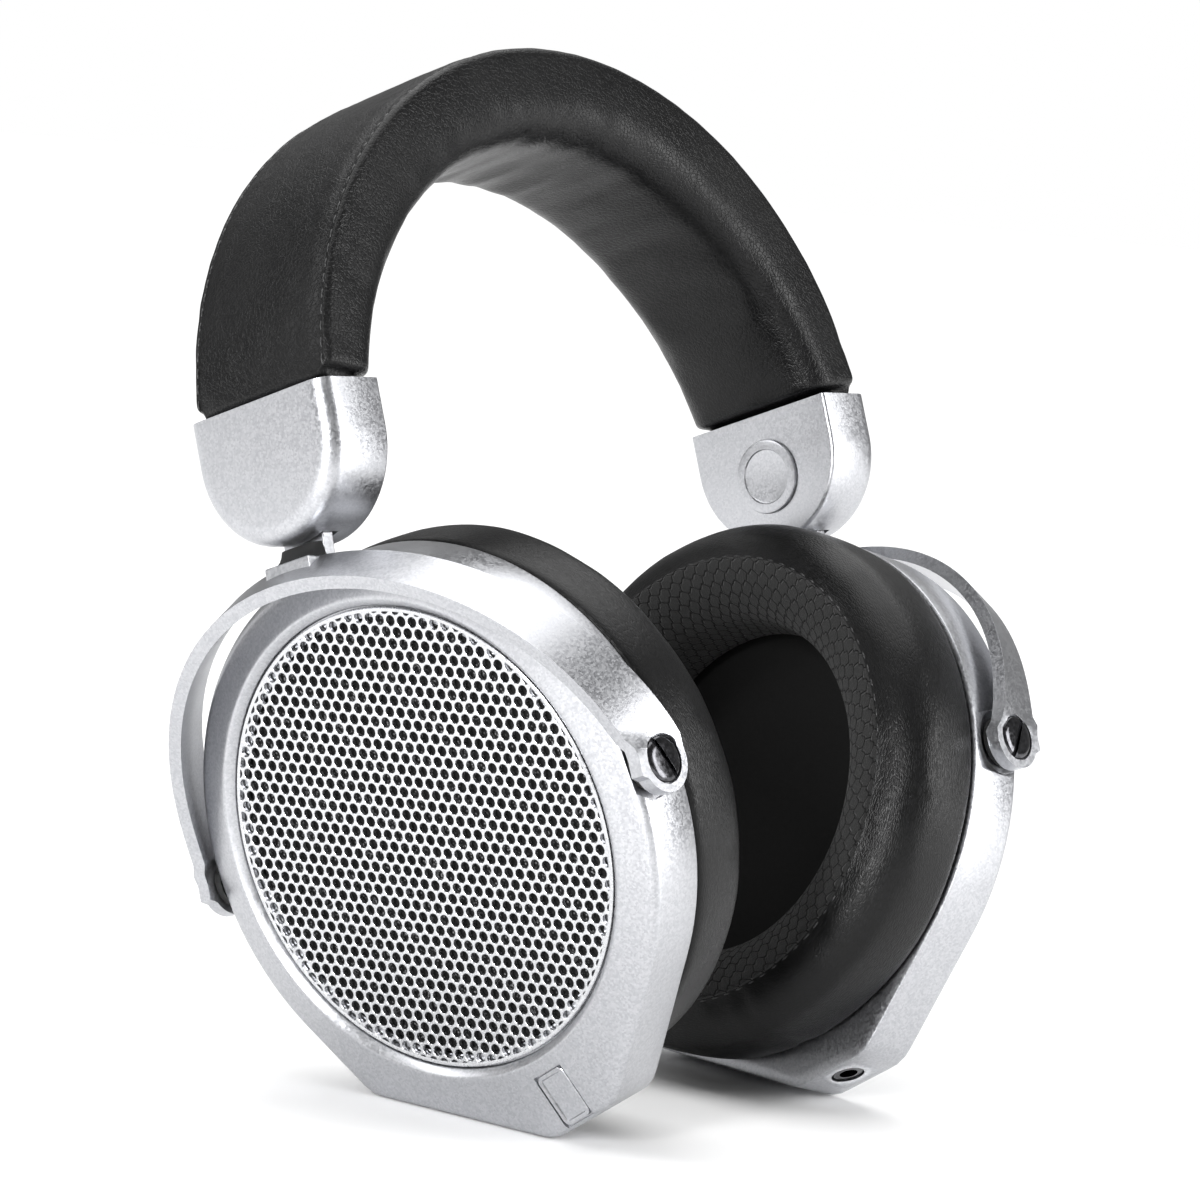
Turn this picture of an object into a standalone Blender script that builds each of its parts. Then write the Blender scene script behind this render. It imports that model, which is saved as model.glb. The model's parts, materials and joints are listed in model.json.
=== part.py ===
"""Over-ear headphones with open planar drivers, standing on their cups.

Sizes are in millimetres and turned to metres when a mesh is made. The headphones are drawn
in their wearing frame (+X to the wearer's left ear, -Y to the wearer's front, +Z to the
crown), which leans back about X so that the foot line of each cup lies on the ground.
Each side is drawn once for the left ear and mirrored for the right.
"""
import math

import bmesh
import bpy
from mathutils import Matrix, Vector

MM = 0.001
FIT = 0.3                 # gap between pieces that touch

# stance
LEAN = 21.4               # how far the headband leans back, degrees
TUCK = 14.0               # how far the cups' lower ends turn in, degrees

# ear cup: u runs outwards from the tilt axis
CUP_RADIUS = 51.4
CUP_WALL = 2.8
PAD_PLANE = -7.7          # u of the housing's ear side
WALL_END = 3.9            # u where the side wall turns into the crest
CREST = 4.9
CREST_INSET = 1.2
GRILLE_RADIUS = 42.4
GRILLE_U = 5.0
GRILLE_THICK = 0.8
RIM_RADIUS = GRILLE_RADIUS + 1.9
RIM_U = 6.3
SHELF_RADIUS = GRILLE_RADIUS - 1.9
SHELF_THICK = 1.4
CHIN_ANGLE = 13.0         # degrees the chin sits ahead of the cup's lowest point
CHIN_REACH = CUP_RADIUS + 6.4
FOOT_DEPTH = CUP_RADIUS + 0.8   # distance of the foot line from the cup's centre
HEEL = 15.0               # how far the foot line runs behind the cup's centre
BADGE_LONG = 10.0
BADGE_WIDE = 6.6
BADGE_THICK = 0.6
BADGE_RADIUS = CHIN_REACH - 5.8
JACK_U = -2.2
JACK_RADIUS = 2.9
JACK_BORE = 1.75
JACK_LENGTH = 13.0

# driver stack
CLOTH_THICK = 0.5
STATOR_RADIUS = GRILLE_RADIUS + 0.6
STATOR_THICK = 2.2
OUTER_STATOR_U = 0.2
INNER_STATOR_U = -3.1
SLOT_COUNT = 9
SLOT_PITCH = STATOR_RADIUS * 0.177
SLOT_WIDTH = 4.0
FILM_THICK = 0.5
BAFFLE_U = -6.9
BAFFLE_THICK = 3.5
BAFFLE_OPENING = 33.0
INNER_CLOTH_RADIUS = 36.0
BAFFLE_SCREW_HEAD = 1.8
BAFFLE_SCREW_SHANK = 1.0
BAFFLE_SCREW_CIRCLE = (STATOR_RADIUS + CUP_RADIUS - CUP_WALL) / 2 + 0.1

# ear pad
PAD_RING_INNER = 36.5
PAD_RING_OUTER = CUP_RADIUS - 3.9
PAD_RING_THICK = 1.2
PAD_OUTER = CUP_RADIUS
PAD_INNER = 31.0
PAD_THICK = 20.0
PAD_SHOULDER = 7.0
PAD_LIP = 9.0
PAD_SKIN = 1.0

# yoke
PIVOT_HEIGHT = 1.2        # height of the tilt axis above the cup's centre
YOKE_DISH = 31.0          # degrees the strap's face turns outwards at the top
YOKE_RISE = CUP_RADIUS - 5.2   # outer face at the top
YOKE_OUT = 26.0           # how far the top stands outside the pivots
YOKE_CANT = math.degrees(math.atan(YOKE_OUT / YOKE_RISE))
YOKE_THICK = 2.6
YOKE_SIDE = CUP_RADIUS + YOKE_THICK + 1.2   # outer face at the pivots
ARM_HALF = 5.9            # half width and end radius of the arms
ARM_END = 6.5             # half width where the strap leaves the eye
YOKE_TOP_HALF = 4.3
PIVOT_HEAD = 4.1
PIVOT_HEAD_THICK = 1.1
PIVOT_SHANK = 1.5
BUSH_RADIUS = 2.9
BUSH_FLANGE = 4.8
SCREW_SLOT = 0.9
POCKET_RADIUS = 6.2
POCKET_DEPTH = 0.9

# headband: distances from the middle plane, heights above the cups' centre
ARCH_OUT = 76.6           # outer face of the leather above the end caps
ARCH_RISE = ARCH_OUT - 2.6       # the same at the crown, above the arch centre
BAND_INNER_END = ARCH_OUT - 12.8
BAND_INNER_CROWN = ARCH_RISE - 18.6
BAND_HALF_END = 17.2
BAND_HALF_CROWN = 18.0
BAND_EDGE = 3.0           # corner radius at the outer seams
LEATHER = 1.1
BAND_START = 2.0          # degrees above the arch centre where the leather begins
STRIP_OUT = ARCH_OUT - 3.2       # middle of the spring strip
STRIP_RISE = ARCH_RISE - 1.9
STRIP_THICK = 0.8
STRIP_HALF = 7.0
FOAM_UNDER_STRIP = 2.1
LEAD_UNDER_STRIP = 1.3
LEAD_OFFSET = 8.0
LEAD_DIAMETER = 1.2

# end caps
CAP_OUTER = ARCH_OUT + 1.2
CAP_INNER = CAP_OUTER - 14.6
CAP_HALF = BAND_HALF_END + 0.2
CAP_WALL_INNER = 1.6
CAP_WALL_OUTER = 1.8
CAP_WALL_SIDE = 1.2
CAP_FILLET = 3.4
CAP_BOTTOM = PIVOT_HEIGHT + YOKE_RISE + 6.1
CAP_TOP = CAP_BOTTOM + 25.9
TUCK_GAP = 0.5            # gap between the tucked leather and the cap's walls
ARCH_HEIGHT = CAP_BOTTOM + 18.0  # arch centre
MARK_HEIGHT = CAP_BOTTOM + 13.3
MARK_RADIUS = 7.4
MARK_THICK = 0.6
CAP_SCREW_HEAD = 2.3
CAP_SCREW_SHANK = 1.2
GUIDE_HALF = 8.0
GUIDE_LOW = CAP_BOTTOM + 4.1
GUIDE_TOP = CAP_BOTTOM + 13.0
STRIP_LOW = CAP_BOTTOM + 6.5

# slider
STEM_OUT = CAP_INNER + 6.8       # where the stem's middle passes the cap's lower edge
STEM_LEVEL = CAP_BOTTOM + 0.5
STEM_CANT = 4.5           # degrees the stem leans in towards its top
STEM_HALF = 5.0
STEM_THICK = 2.6
SLIDE_TRAVEL = round(ARCH_OUT / 3.064)
SLIDE_PLAY = 0.3
LEAF_THICK = 0.4
PIN_RADIUS = 1.0
PIN_HALF = 6.8
PIVOT_OUT = STEM_OUT - 6.4 - CUP_RADIUS * math.sin(math.radians(TUCK))      # distance of the tilt axis from the middle plane

SIDES = {"left": 1, "right": -1}


def clear_scene():
    for block in list(bpy.data.objects):
        bpy.data.objects.remove(block, do_unlink=True)
    for block in list(bpy.data.meshes):
        bpy.data.meshes.remove(block)


def finish(name, red, green, blue, roughness, metallic):
    material = bpy.data.materials.new(name)
    material.use_nodes = True
    shader = material.node_tree.nodes["Principled BSDF"]
    shader.inputs["Base Color"].default_value = (red, green, blue, 1.0)
    shader.inputs["Roughness"].default_value = roughness
    shader.inputs["Metallic"].default_value = metallic
    return material


def make_empty(name, parent=None, location=(0, 0, 0), rotation=(0, 0, 0)):
    empty = bpy.data.objects.new(name, None)
    empty.location = Vector(location) * MM
    empty.rotation_euler = rotation
    empty.parent = parent
    bpy.context.collection.objects.link(empty)
    return empty


def add_piece(name, bm, material, parent, side=1, keep_inverse=None, cutter=False):
    """Turns a millimetre bmesh drawn for the left side into an object of the given side."""
    bmesh.ops.transform(bm, matrix=Matrix.Diagonal((side * MM, MM, MM, 1.0)), verts=bm.verts)
    bmesh.ops.recalc_face_normals(bm, faces=bm.faces)
    mesh = bpy.data.meshes.new(name)
    bm.to_mesh(mesh)
    bm.free()
    mesh.shade_smooth()
    mesh.set_sharp_from_angle(angle=math.radians(32))
    piece = bpy.data.objects.new(name, mesh)
    if material is not None:
        mesh.materials.append(material)
    piece.parent = parent
    if keep_inverse is not None:
        piece.matrix_parent_inverse = keep_inverse
    if cutter:
        piece.hide_render = True
        piece.display_type = 'WIRE'
    bpy.context.collection.objects.link(piece)
    return piece


def boolean(piece, other, operation='DIFFERENCE'):
    modifier = piece.modifiers.new(operation.lower(), 'BOOLEAN')
    modifier.operation = operation
    modifier.object = other


def skin(bm, loops, closed=False):
    """Joins loops of equal length by quads; open skins get end faces."""
    rows = [[bm.verts.new(point) for point in loop] for loop in loops]
    pairs = list(zip(rows, rows[1:]))
    if closed:
        pairs.append((rows[-1], rows[0]))
    for low, high in pairs:
        for i in range(len(low)):
            j = (i + 1) % len(low)
            bm.faces.new((low[i], low[j], high[j], high[i]))
    if not closed:
        bm.faces.new(rows[0])
        bm.faces.new(rows[-1])
    return bm


def box(bm, low, high, matrix=None):
    corners = [(x, y, z) for x in (low[0], high[0]) for y in (low[1], high[1]) for z in (low[2], high[2])]
    if matrix is not None:
        corners = [matrix @ Vector(corner) for corner in corners]
    verts = [bm.verts.new(corner) for corner in corners]
    for face in ((0, 1, 3, 2), (4, 6, 7, 5), (0, 4, 5, 1), (2, 3, 7, 6), (0, 2, 6, 4), (1, 5, 7, 3)):
        bm.faces.new([verts[i] for i in face])
    return bm


def rod(bm, start, end, radius, segments=24, start_radius=None):
    start, end = Vector(start), Vector(end)
    across = (end - start).to_track_quat('Z', 'Y').to_matrix()
    loops = []
    for centre, size in ((start, start_radius or radius), (end, radius)):
        turn = [2 * math.pi * i / segments for i in range(segments)]
        loops.append([centre + across @ Vector((size * math.cos(a), size * math.sin(a), 0)) for a in turn])
    return skin(bm, loops)


def turned(profile, segments):
    """A ring turned about the cup's axis from a closed profile of (radius, u) points."""
    loops = []
    for i in range(segments):
        angle = 2 * math.pi * i / segments
        loops.append([(u, -r * math.sin(angle), -PIVOT_HEIGHT - r * math.cos(angle)) for r, u in profile])
    return skin(bmesh.new(), loops, closed=True)


def disc(radius, low, high, segments=32):
    return rod(bmesh.new(), (low, 0, -PIVOT_HEIGHT), (high, 0, -PIVOT_HEIGHT), radius, segments)


# ---------------------------------------------------------------- frames

def slide_matrix(side):
    """Frame of the slider: origin where the stem leaves the cap, Z up along the stem."""
    turn = Matrix.Rotation(math.radians(-STEM_CANT) * side, 4, 'Y')
    return Matrix.Translation((side * STEM_OUT * MM, 0, STEM_LEVEL * MM)) @ turn


def stem_frame():
    """The left slider's frame in millimetres, for drawing pieces that follow the stem."""
    turn = Matrix.Rotation(math.radians(-STEM_CANT), 4, 'Y')
    return Matrix.Translation((STEM_OUT, 0, STEM_LEVEL)) @ turn


# ---------------------------------------------------------------- headband

def oval(phi, out, rise):
    return math.hypot(out * math.cos(phi), rise * math.sin(phi))


def clear_of_cap(phi, radius):
    """0 where the leather is tucked into a cap, 1 where it stands at its full size."""
    rim = math.asin((CAP_TOP + FIT - ARCH_HEIGHT) / radius)
    share = (min(phi, math.pi - phi) - rim) / math.radians(3.0)
    share = min(max(share, 0.0), 1.0)
    return share * share * (3 - 2 * share)


def band_size(phi):
    """Half width, outer and inner radius of the leather."""
    level = math.sin(phi)
    tucked = (CAP_HALF - CAP_WALL_SIDE - TUCK_GAP, CAP_OUTER - CAP_WALL_OUTER - TUCK_GAP,
              (CAP_INNER + CAP_WALL_INNER + TUCK_GAP) / math.cos(math.radians(6.5)))
    full = (BAND_HALF_END + (BAND_HALF_CROWN - BAND_HALF_END) * level, oval(phi, ARCH_OUT, ARCH_RISE),
            BAND_INNER_END + (BAND_INNER_CROWN - BAND_INNER_END) * level ** 0.9)
    radii = (BAND_INNER_END, ARCH_OUT, BAND_INNER_END)
    shares = [clear_of_cap(phi, radius) for radius in radii]
    return [a + (b - a) * share for a, b, share in zip(tucked, full, shares)]


def strip_radius(phi):
    return oval(phi, STRIP_OUT, STRIP_RISE)


def rounded_section(half, low, high, low_round, high_round, corner_points=3):
    """Closed outline of (y, radius) points with rounded corners."""
    corners = ((half, high, high_round, 0), (-half, high, high_round, 90),
               (-half, low, low_round, 180), (half, low, low_round, 270))
    points = []
    for y, r, corner, start in corners:
        centre_y = y - math.copysign(corner, y)
        centre_r = r - corner if r == high else r + corner
        for i in range(corner_points):
            angle = math.radians(start + 90 * i / (corner_points - 1))
            points.append((centre_y + corner * math.cos(angle), centre_r + corner * math.sin(angle)))
    return points


def arch_loop(phi, section):
    return [(r * math.cos(phi), y, ARCH_HEIGHT + r * math.sin(phi)) for y, r in section]


def arch_angles(count, start=BAND_START):
    first = math.radians(start)
    return [first + (math.pi - 2 * first) * i / (count - 1) for i in range(count)]


def cover_angles():
    """Stations along the leather, closer together where it widens out of the caps."""
    ends = [math.radians(d) for d in (BAND_START, 6.2, 7.2, 8.2, 9.6)]
    middle = arch_angles(19, 15.0)
    return ends + middle + [math.pi - phi for phi in ends[::-1]]


def band_section(phi, inset, top=None):
    half, outer, inner = band_size(phi)
    half -= inset
    low = inner + inset
    top = outer - inset if top is None else top
    low_round = min(0.42 * (outer - inner), 7.5) - inset
    high_round = max(BAND_EDGE - inset, 0.8)
    return rounded_section(half, low, top, low_round, high_round)


def headband_cover(stance, leather):
    angles = cover_angles()
    outer = [arch_loop(phi, band_section(phi, 0.0)) for phi in angles]
    inner = [arch_loop(phi, band_section(phi, LEATHER)) for phi in angles]
    bm = skin(bmesh.new(), outer + inner[::-1], closed=True)
    return add_piece("headband_cover", bm, leather, stance)


def headband_foam(stance, foam):
    loops = []
    for phi in cover_angles():
        loops.append(arch_loop(phi, band_section(phi, LEATHER + FIT, strip_radius(phi) - FOAM_UNDER_STRIP)))
    piece = add_piece("headband_foam", skin(bmesh.new(), loops), foam, stance)
    room = bmesh.new()
    for side in SIDES.values():
        channel = bmesh.new()
        low = (-STEM_THICK / 2 - 1.2, -PIN_HALF - 0.6, guide_top_on_stem() - 8)
        high = (STEM_THICK / 2 + 1.2, PIN_HALF + 0.6, stem_top() + 2)
        box(channel, low, high, stem_frame())
        bmesh.ops.scale(channel, vec=(side, 1, 1), verts=channel.verts)
        bmesh.ops.recalc_face_normals(channel, faces=channel.faces)
        mesh = bpy.data.meshes.new("channel")
        channel.to_mesh(mesh)
        channel.free()
        room.from_mesh(mesh)
        bpy.data.meshes.remove(mesh)
    boolean(piece, add_piece("cut_foam_channels", room, None, stance, cutter=True))
    return piece


def headband_strip(stance, steel):
    loops = []
    for phi in arch_angles(27, 0.0):
        low, high = strip_radius(phi) - STRIP_THICK / 2, strip_radius(phi) + STRIP_THICK / 2
        section = [(STRIP_HALF, low), (STRIP_HALF, high), (-STRIP_HALF, high), (-STRIP_HALF, low)]
        loops.append(arch_loop(phi, section))
    drop = STRIP_LOW - ARCH_HEIGHT
    foot = [(x, y, z + drop) for x, y, z in loops[0]]
    other = [(x, y, z + drop) for x, y, z in loops[-1]]
    return add_piece("spring_strip", skin(bmesh.new(), [foot] + loops + [other]), steel, stance)


def crossover_lead(stance, rubber):
    curve = bpy.data.curves.new("crossover_lead", 'CURVE')
    curve.dimensions = '3D'
    curve.bevel_depth = LEAD_DIAMETER / 2 * MM
    curve.bevel_resolution = 1
    curve.render_resolution_u = 0
    curve.use_fill_caps = True
    spline = curve.splines.new('POLY')
    angles = arch_angles(24, 3.0)
    spline.points.add(len(angles) - 1)
    for point, phi in zip(spline.points, angles):
        radius = strip_radius(phi) - LEAD_UNDER_STRIP
        x, z = radius * math.cos(phi), ARCH_HEIGHT + radius * math.sin(phi)
        point.co = (x * MM, LEAD_OFFSET * MM, z * MM, 1)
    piece = bpy.data.objects.new("crossover_lead", curve)
    curve.materials.append(rubber)
    piece.parent = stance
    bpy.context.collection.objects.link(piece)


# ---------------------------------------------------------------- end caps and slider

def cap_outline(u, inset, top, segments=14):
    """U shape in the YZ plane at distance u, drawn inwards by inset."""
    half = CAP_HALF - inset
    centre = CAP_BOTTOM + CAP_HALF
    points = [(u, -half, top), (u, half, top)]
    for i in range(segments + 1):
        angle = math.pi * i / segments
        points.append((u, half * math.cos(angle), centre - half * math.sin(angle)))
    return points


def end_cap(name, side, stance, silver):
    steps = [(CAP_INNER, 1.2), (CAP_INNER + 0.4, 0.35), (CAP_INNER + 1.2, 0.0), (CAP_OUTER - CAP_FILLET, 0.0)]
    for degrees in (30, 60, 90):
        angle = math.radians(degrees)
        steps.append((CAP_OUTER - CAP_FILLET * (1 - math.sin(angle)), CAP_FILLET * (1 - math.cos(angle))))
    loops = [cap_outline(u, inset, CAP_TOP) for u, inset in steps]
    piece = add_piece("end_cap_" + name, skin(bmesh.new(), loops), silver, stance, side)
    hollow = [cap_outline(u, CAP_WALL_SIDE, CAP_TOP + 5)
              for u in (CAP_INNER + CAP_WALL_INNER, CAP_OUTER - CAP_WALL_OUTER)]
    boolean(piece, add_piece("cut_cap_hollow_" + name, skin(bmesh.new(), hollow), None, stance, side, cutter=True))
    slot = bmesh.new()
    reach = STEM_THICK / 2 + 2 * FIT
    box(slot, (-reach, -STEM_HALF - 2 * FIT, -8), (reach, STEM_HALF + 2 * FIT, 3), stem_frame())
    boolean(piece, add_piece("cut_cap_slot_" + name, slot, None, stance, side, cutter=True))
    hole = bmesh.new()
    rod(hole, (CAP_INNER - 1, 0, MARK_HEIGHT), (CAP_INNER + 5, 0, MARK_HEIGHT), CAP_SCREW_SHANK + FIT, 16)
    boolean(piece, add_piece("cut_cap_hole_" + name, hole, None, stance, side, cutter=True))
    head = bmesh.new()
    rod(head, (CAP_INNER - 1, 0, MARK_HEIGHT), (CAP_INNER + 1.0, 0, MARK_HEIGHT), CAP_SCREW_HEAD + FIT, 16)
    boolean(piece, add_piece("cut_cap_head_" + name, head, None, stance, side, cutter=True))


def cap_screw_tip():
    """Just short of the leaf behind the stem."""
    drop = (MARK_HEIGHT - STEM_LEVEL) * math.tan(math.radians(STEM_CANT))
    return STEM_OUT - drop - STEM_THICK / 2 - LEAF_THICK - 3 * FIT


def cap_screw(name, side, stance, steel):
    bm = bmesh.new()
    head_low, head_high = CAP_INNER, CAP_INNER + 0.7
    rings = [(head_low, CAP_SCREW_HEAD), (head_high, CAP_SCREW_HEAD), (head_high, CAP_SCREW_SHANK),
             (cap_screw_tip(), CAP_SCREW_SHANK)]
    loops = []
    for u, radius in rings:
        turn = [2 * math.pi * i / 16 for i in range(16)]
        loops.append([(u, radius * math.cos(a), MARK_HEIGHT + radius * math.sin(a)) for a in turn])
    add_piece("cap_screw_" + name, skin(bm, loops), steel, stance, side)


def side_mark(name, side, stance, silver):
    bm = bmesh.new()
    high = CAP_INNER - FIT
    rod(bm, (high - MARK_THICK, 0, MARK_HEIGHT), (high, 0, MARK_HEIGHT), MARK_RADIUS, 32)
    add_piece("side_mark_" + name, bm, silver, stance, side)


def guide_top_on_stem():
    return (GUIDE_TOP - STEM_LEVEL) / math.cos(math.radians(STEM_CANT)) + STEM_THICK * math.tan(
        math.radians(STEM_CANT))


def pin_level():
    return guide_top_on_stem() + SLIDE_TRAVEL + PIN_RADIUS + FIT


def stem_top():
    return pin_level() + 2.2


def slider_guide(name, side, stance, plastic):
    bm = bmesh.new()
    low_u, high_u = CAP_INNER + CAP_WALL_INNER + FIT, STRIP_OUT - STRIP_THICK / 2 - FIT
    box(bm, (low_u, -GUIDE_HALF, GUIDE_LOW), (high_u, GUIDE_HALF, GUIDE_TOP))
    piece = add_piece("slider_guide_" + name, bm, plastic, stance, side)
    channel = bmesh.new()
    back = -STEM_THICK / 2 - LEAF_THICK - 2 * FIT - 0.1
    box(channel, (back, -STEM_HALF - SLIDE_PLAY, -4), (9, STEM_HALF + SLIDE_PLAY, 26), stem_frame())
    boolean(piece, add_piece("cut_guide_channel_" + name, channel, None, stance, side, cutter=True))
    hole = bmesh.new()
    rod(hole, (CAP_INNER, 0, MARK_HEIGHT), (cap_screw_tip() + FIT, 0, MARK_HEIGHT), CAP_SCREW_SHANK + FIT, 16)
    boolean(piece, add_piece("cut_guide_hole_" + name, hole, None, stance, side, cutter=True))


def detent_leaf(name, side, stance, steel):
    """Leaf spring behind the stem, which holds the slider where it is set."""
    bm = bmesh.new()
    high = -STEM_THICK / 2 - FIT
    box(bm, (high - LEAF_THICK, -3.5, 4.5), (high, 3.5, 9.5), stem_frame())
    add_piece("detent_leaf_" + name, bm, steel, stance, side)


# ---------------------------------------------------------------- yoke

def strap_station(y, rise, out_y, out_z):
    """Four corners of the strap: y and rise place its outer face, out_y and out_z point outwards."""
    dish = math.radians(YOKE_DISH) * math.sqrt(out_z)
    middle = YOKE_OUT * max(rise / YOKE_RISE, 0) ** 1.08
    half = ARM_END + (YOKE_TOP_HALF - ARM_END) * out_z
    turn = ARM_HALF * math.sin(math.radians(YOKE_CANT))
    round_end = math.sqrt(max(ARM_HALF ** 2 - rise ** 2, 0))
    inner = -round_end if rise < turn else middle - half * math.cos(dish)
    outer = round_end if rise < -turn else middle + half * math.cos(dish)
    corners = []
    for across, deep in ((inner, YOKE_THICK), (inner, 0), (outer, 0), (outer, YOKE_THICK)):
        slide = -(across - middle) * math.tan(dish) if rise >= turn else 0.0
        u = PIVOT_OUT + across - deep * math.sin(dish)
        out = slide - deep * math.cos(dish)
        corners.append((u, y + out * out_y, PIVOT_HEIGHT + rise + out * out_z))
    return corners


def yoke_loops(count=24):
    """Stations along the strap, from the rear arm's end over the top to the front arm's end."""
    turn = math.sin(math.radians(YOKE_CANT))
    arms = [(YOKE_SIDE, -ARM_HALF * share, 1, 0) for share in (0.98, 0.88, 0.7, turn, 0.2)]
    arch = []
    for i in range(count + 1):
        angle = math.pi * i / count
        normal = Vector((math.cos(angle) / YOKE_SIDE, math.sin(angle) / YOKE_RISE)).normalized()
        arch.append((YOKE_SIDE * math.cos(angle), YOKE_RISE * math.sin(angle), normal.x, max(normal.y, 0)))
    stations = arms + arch + [(-y, rise, -1, 0) for y, rise, out_y, out_z in arms[::-1]]
    return [strap_station(*station) for station in stations]


def yoke(name, side, slide, inverse, silver):
    piece = add_piece("yoke_" + name, skin(bmesh.new(), yoke_loops()), silver, slide, side, inverse)
    stem = bmesh.new()
    foot = CAP_BOTTOM - STEM_LEVEL - 5.7
    box(stem, (-STEM_THICK / 2, -STEM_HALF, foot), (STEM_THICK / 2, STEM_HALF, stem_top()), stem_frame())
    boolean(piece, add_piece("add_stem_" + name, stem, None, slide, side, inverse, cutter=True), 'UNION')
    lug = bmesh.new()
    reach = PIVOT_OUT + YOKE_OUT - STEM_OUT - 1.0
    box(lug, (STEM_THICK / 2 - 1.0, -STEM_HALF - 0.6, foot - 0.4), (reach, STEM_HALF + 0.6, foot + 2.0), stem_frame())
    boolean(piece, add_piece("add_lug_" + name, lug, None, slide, side, inverse, cutter=True), 'UNION')
    holes = bmesh.new()
    frame = stem_frame()
    rod(holes, frame @ Vector((0, -9, pin_level())), frame @ Vector((0, 9, pin_level())), PIN_RADIUS + FIT, 16)
    landing, seat = YOKE_SIDE - YOKE_THICK + 0.1, YOKE_SIDE - PIVOT_HEAD_THICK - FIT
    steps = [(BUSH_FLANGE + FIT, landing - 1.1), (BUSH_FLANGE + FIT, landing), (BUSH_RADIUS + FIT, landing),
             (BUSH_RADIUS + FIT, seat), (PIVOT_HEAD + FIT, seat), (PIVOT_HEAD + FIT, YOKE_SIDE + 1)]
    for way in (-1, 1):
        loops = []
        for radius, level in steps:
            ring = [2 * math.pi * i / 24 for i in range(24)]
            loops.append([(PIVOT_OUT + radius * math.cos(a), way * level, PIVOT_HEIGHT + radius * math.sin(a))
                          for a in ring])
        skin(holes, loops)
    boolean(piece, add_piece("cut_yoke_holes_" + name, holes, None, slide, side, inverse, cutter=True))


def slider_pieces(name, side, slide, inverse, steel, rubber):
    frame = stem_frame()
    pin = bmesh.new()
    rod(pin, frame @ Vector((0, -PIN_HALF, pin_level())), frame @ Vector((0, PIN_HALF, pin_level())), PIN_RADIUS, 16)
    add_piece("stop_pin_" + name, pin, steel, slide, side, inverse)
    buffer = bmesh.new()
    near = STEM_THICK / 2 + FIT
    loops = [[(near, -5.6, -3.9), (near, 5.6, -3.9), (near + 3.2, 5.6, -3.9), (near + 3.2, -5.6, -3.9)],
             [(near, -4.8, -1.3), (near, 4.8, -1.3), (near + 1.8, 4.8, -1.5), (near + 1.8, -4.8, -1.5)]]
    loops = [[frame @ Vector(point) for point in loop] for loop in loops]
    add_piece("slider_buffer_" + name, skin(buffer, loops), rubber, slide, side, inverse)


def pivot_bush(name, side, way, slide, inverse, plastic):
    """Flanged sleeve in the arm's eye, between the arm and the cup."""
    arm_inner = YOKE_SIDE - YOKE_THICK
    rings = [(PIVOT_SHANK + FIT, arm_inner - FIT - 1.4), (BUSH_FLANGE, arm_inner - FIT - 1.4),
             (BUSH_FLANGE, arm_inner - FIT), (BUSH_RADIUS, arm_inner - FIT),
             (BUSH_RADIUS, YOKE_SIDE - PIVOT_HEAD_THICK - 2 * FIT),
             (PIVOT_SHANK + FIT, YOKE_SIDE - PIVOT_HEAD_THICK - 2 * FIT)]
    loops = []
    for i in range(20):
        angle = 2 * math.pi * i / 20
        loops.append([(PIVOT_OUT + r * math.cos(angle), way * y, PIVOT_HEIGHT + r * math.sin(angle))
                      for r, y in rings])
    where = "front" if way < 0 else "rear"
    add_piece("pivot_bush_" + where + "_" + name, skin(bmesh.new(), loops, closed=True), plastic,
              slide, side, inverse)


# ---------------------------------------------------------------- ear cup

def foot_normal():
    """Angle, ahead of the cup's lowest point, at which straight down passes the cup's centre."""
    lean, tuck = math.radians(LEAN), math.radians(TUCK)
    return -math.atan(math.tan(lean) / math.cos(tuck))


def chin_lines():
    """Straight sides of the cup's outline as (distance, normal angle), and its corner angles."""
    foot, chin = foot_normal(), math.radians(CHIN_ANGLE)
    over = FOOT_DEPTH * math.cos(chin) - CHIN_REACH * math.cos(foot)
    under = CHIN_REACH * math.sin(foot) - FOOT_DEPTH * math.sin(chin)
    rear_corner = math.atan(over / under)
    front_corner = 2 * chin - rear_corner
    heel = foot - math.atan(HEEL / FOOT_DEPTH)
    heel_tangent = heel - math.acos(CUP_RADIUS / (FOOT_DEPTH / math.cos(heel - foot)))
    corner_radius = CHIN_REACH / math.cos(rear_corner - chin)
    front_tangent = front_corner + math.acos(CUP_RADIUS / corner_radius)
    lines = [(CUP_RADIUS, heel_tangent), (FOOT_DEPTH, foot), (CHIN_REACH, chin), (CUP_RADIUS, front_tangent)]
    return lines, [heel_tangent, heel, rear_corner, front_corner, front_tangent]


def cup_angles(count=40):
    corners = chin_lines()[1]
    angles = list(corners)
    for i in range(count):
        angle = -math.pi + 2 * math.pi * i / count
        if min(abs(angle - corner) for corner in corners) > math.radians(2.5):
            angles.append(angle)
    return sorted(angles)


def cup_radius(angle):
    lines, corners = chin_lines()
    if angle <= corners[0] or angle >= corners[-1]:
        return CUP_RADIUS
    return min(distance / math.cos(angle - normal) for distance, normal in lines
               if math.cos(angle - normal) > 0.2)


def cup_point(u, radius, angle):
    return (u, -radius * math.sin(angle), -PIVOT_HEIGHT - radius * math.cos(angle))


def cup_loop(u, inset=None, radius=None):
    """Loop round the cup: its outline drawn in by inset, or a circle of the given radius."""
    points = []
    for angle in cup_angles():
        reach = radius if radius is not None else cup_radius(angle) - inset
        points.append(cup_point(u, reach, angle))
    return points


def badge_matrix(u):
    """Frame on the chin's outer face: X out of the face, Y across, Z towards the rim."""
    chin = math.radians(CHIN_ANGLE)
    rise = math.atan((RIM_U - CREST) / (CHIN_REACH - CREST_INSET - RIM_RADIUS))
    place = Matrix.Translation(cup_point(u, BADGE_RADIUS, chin))
    return place @ Matrix.Rotation(-chin, 4, 'X') @ Matrix.Rotation(rise, 4, 'Y')


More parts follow.
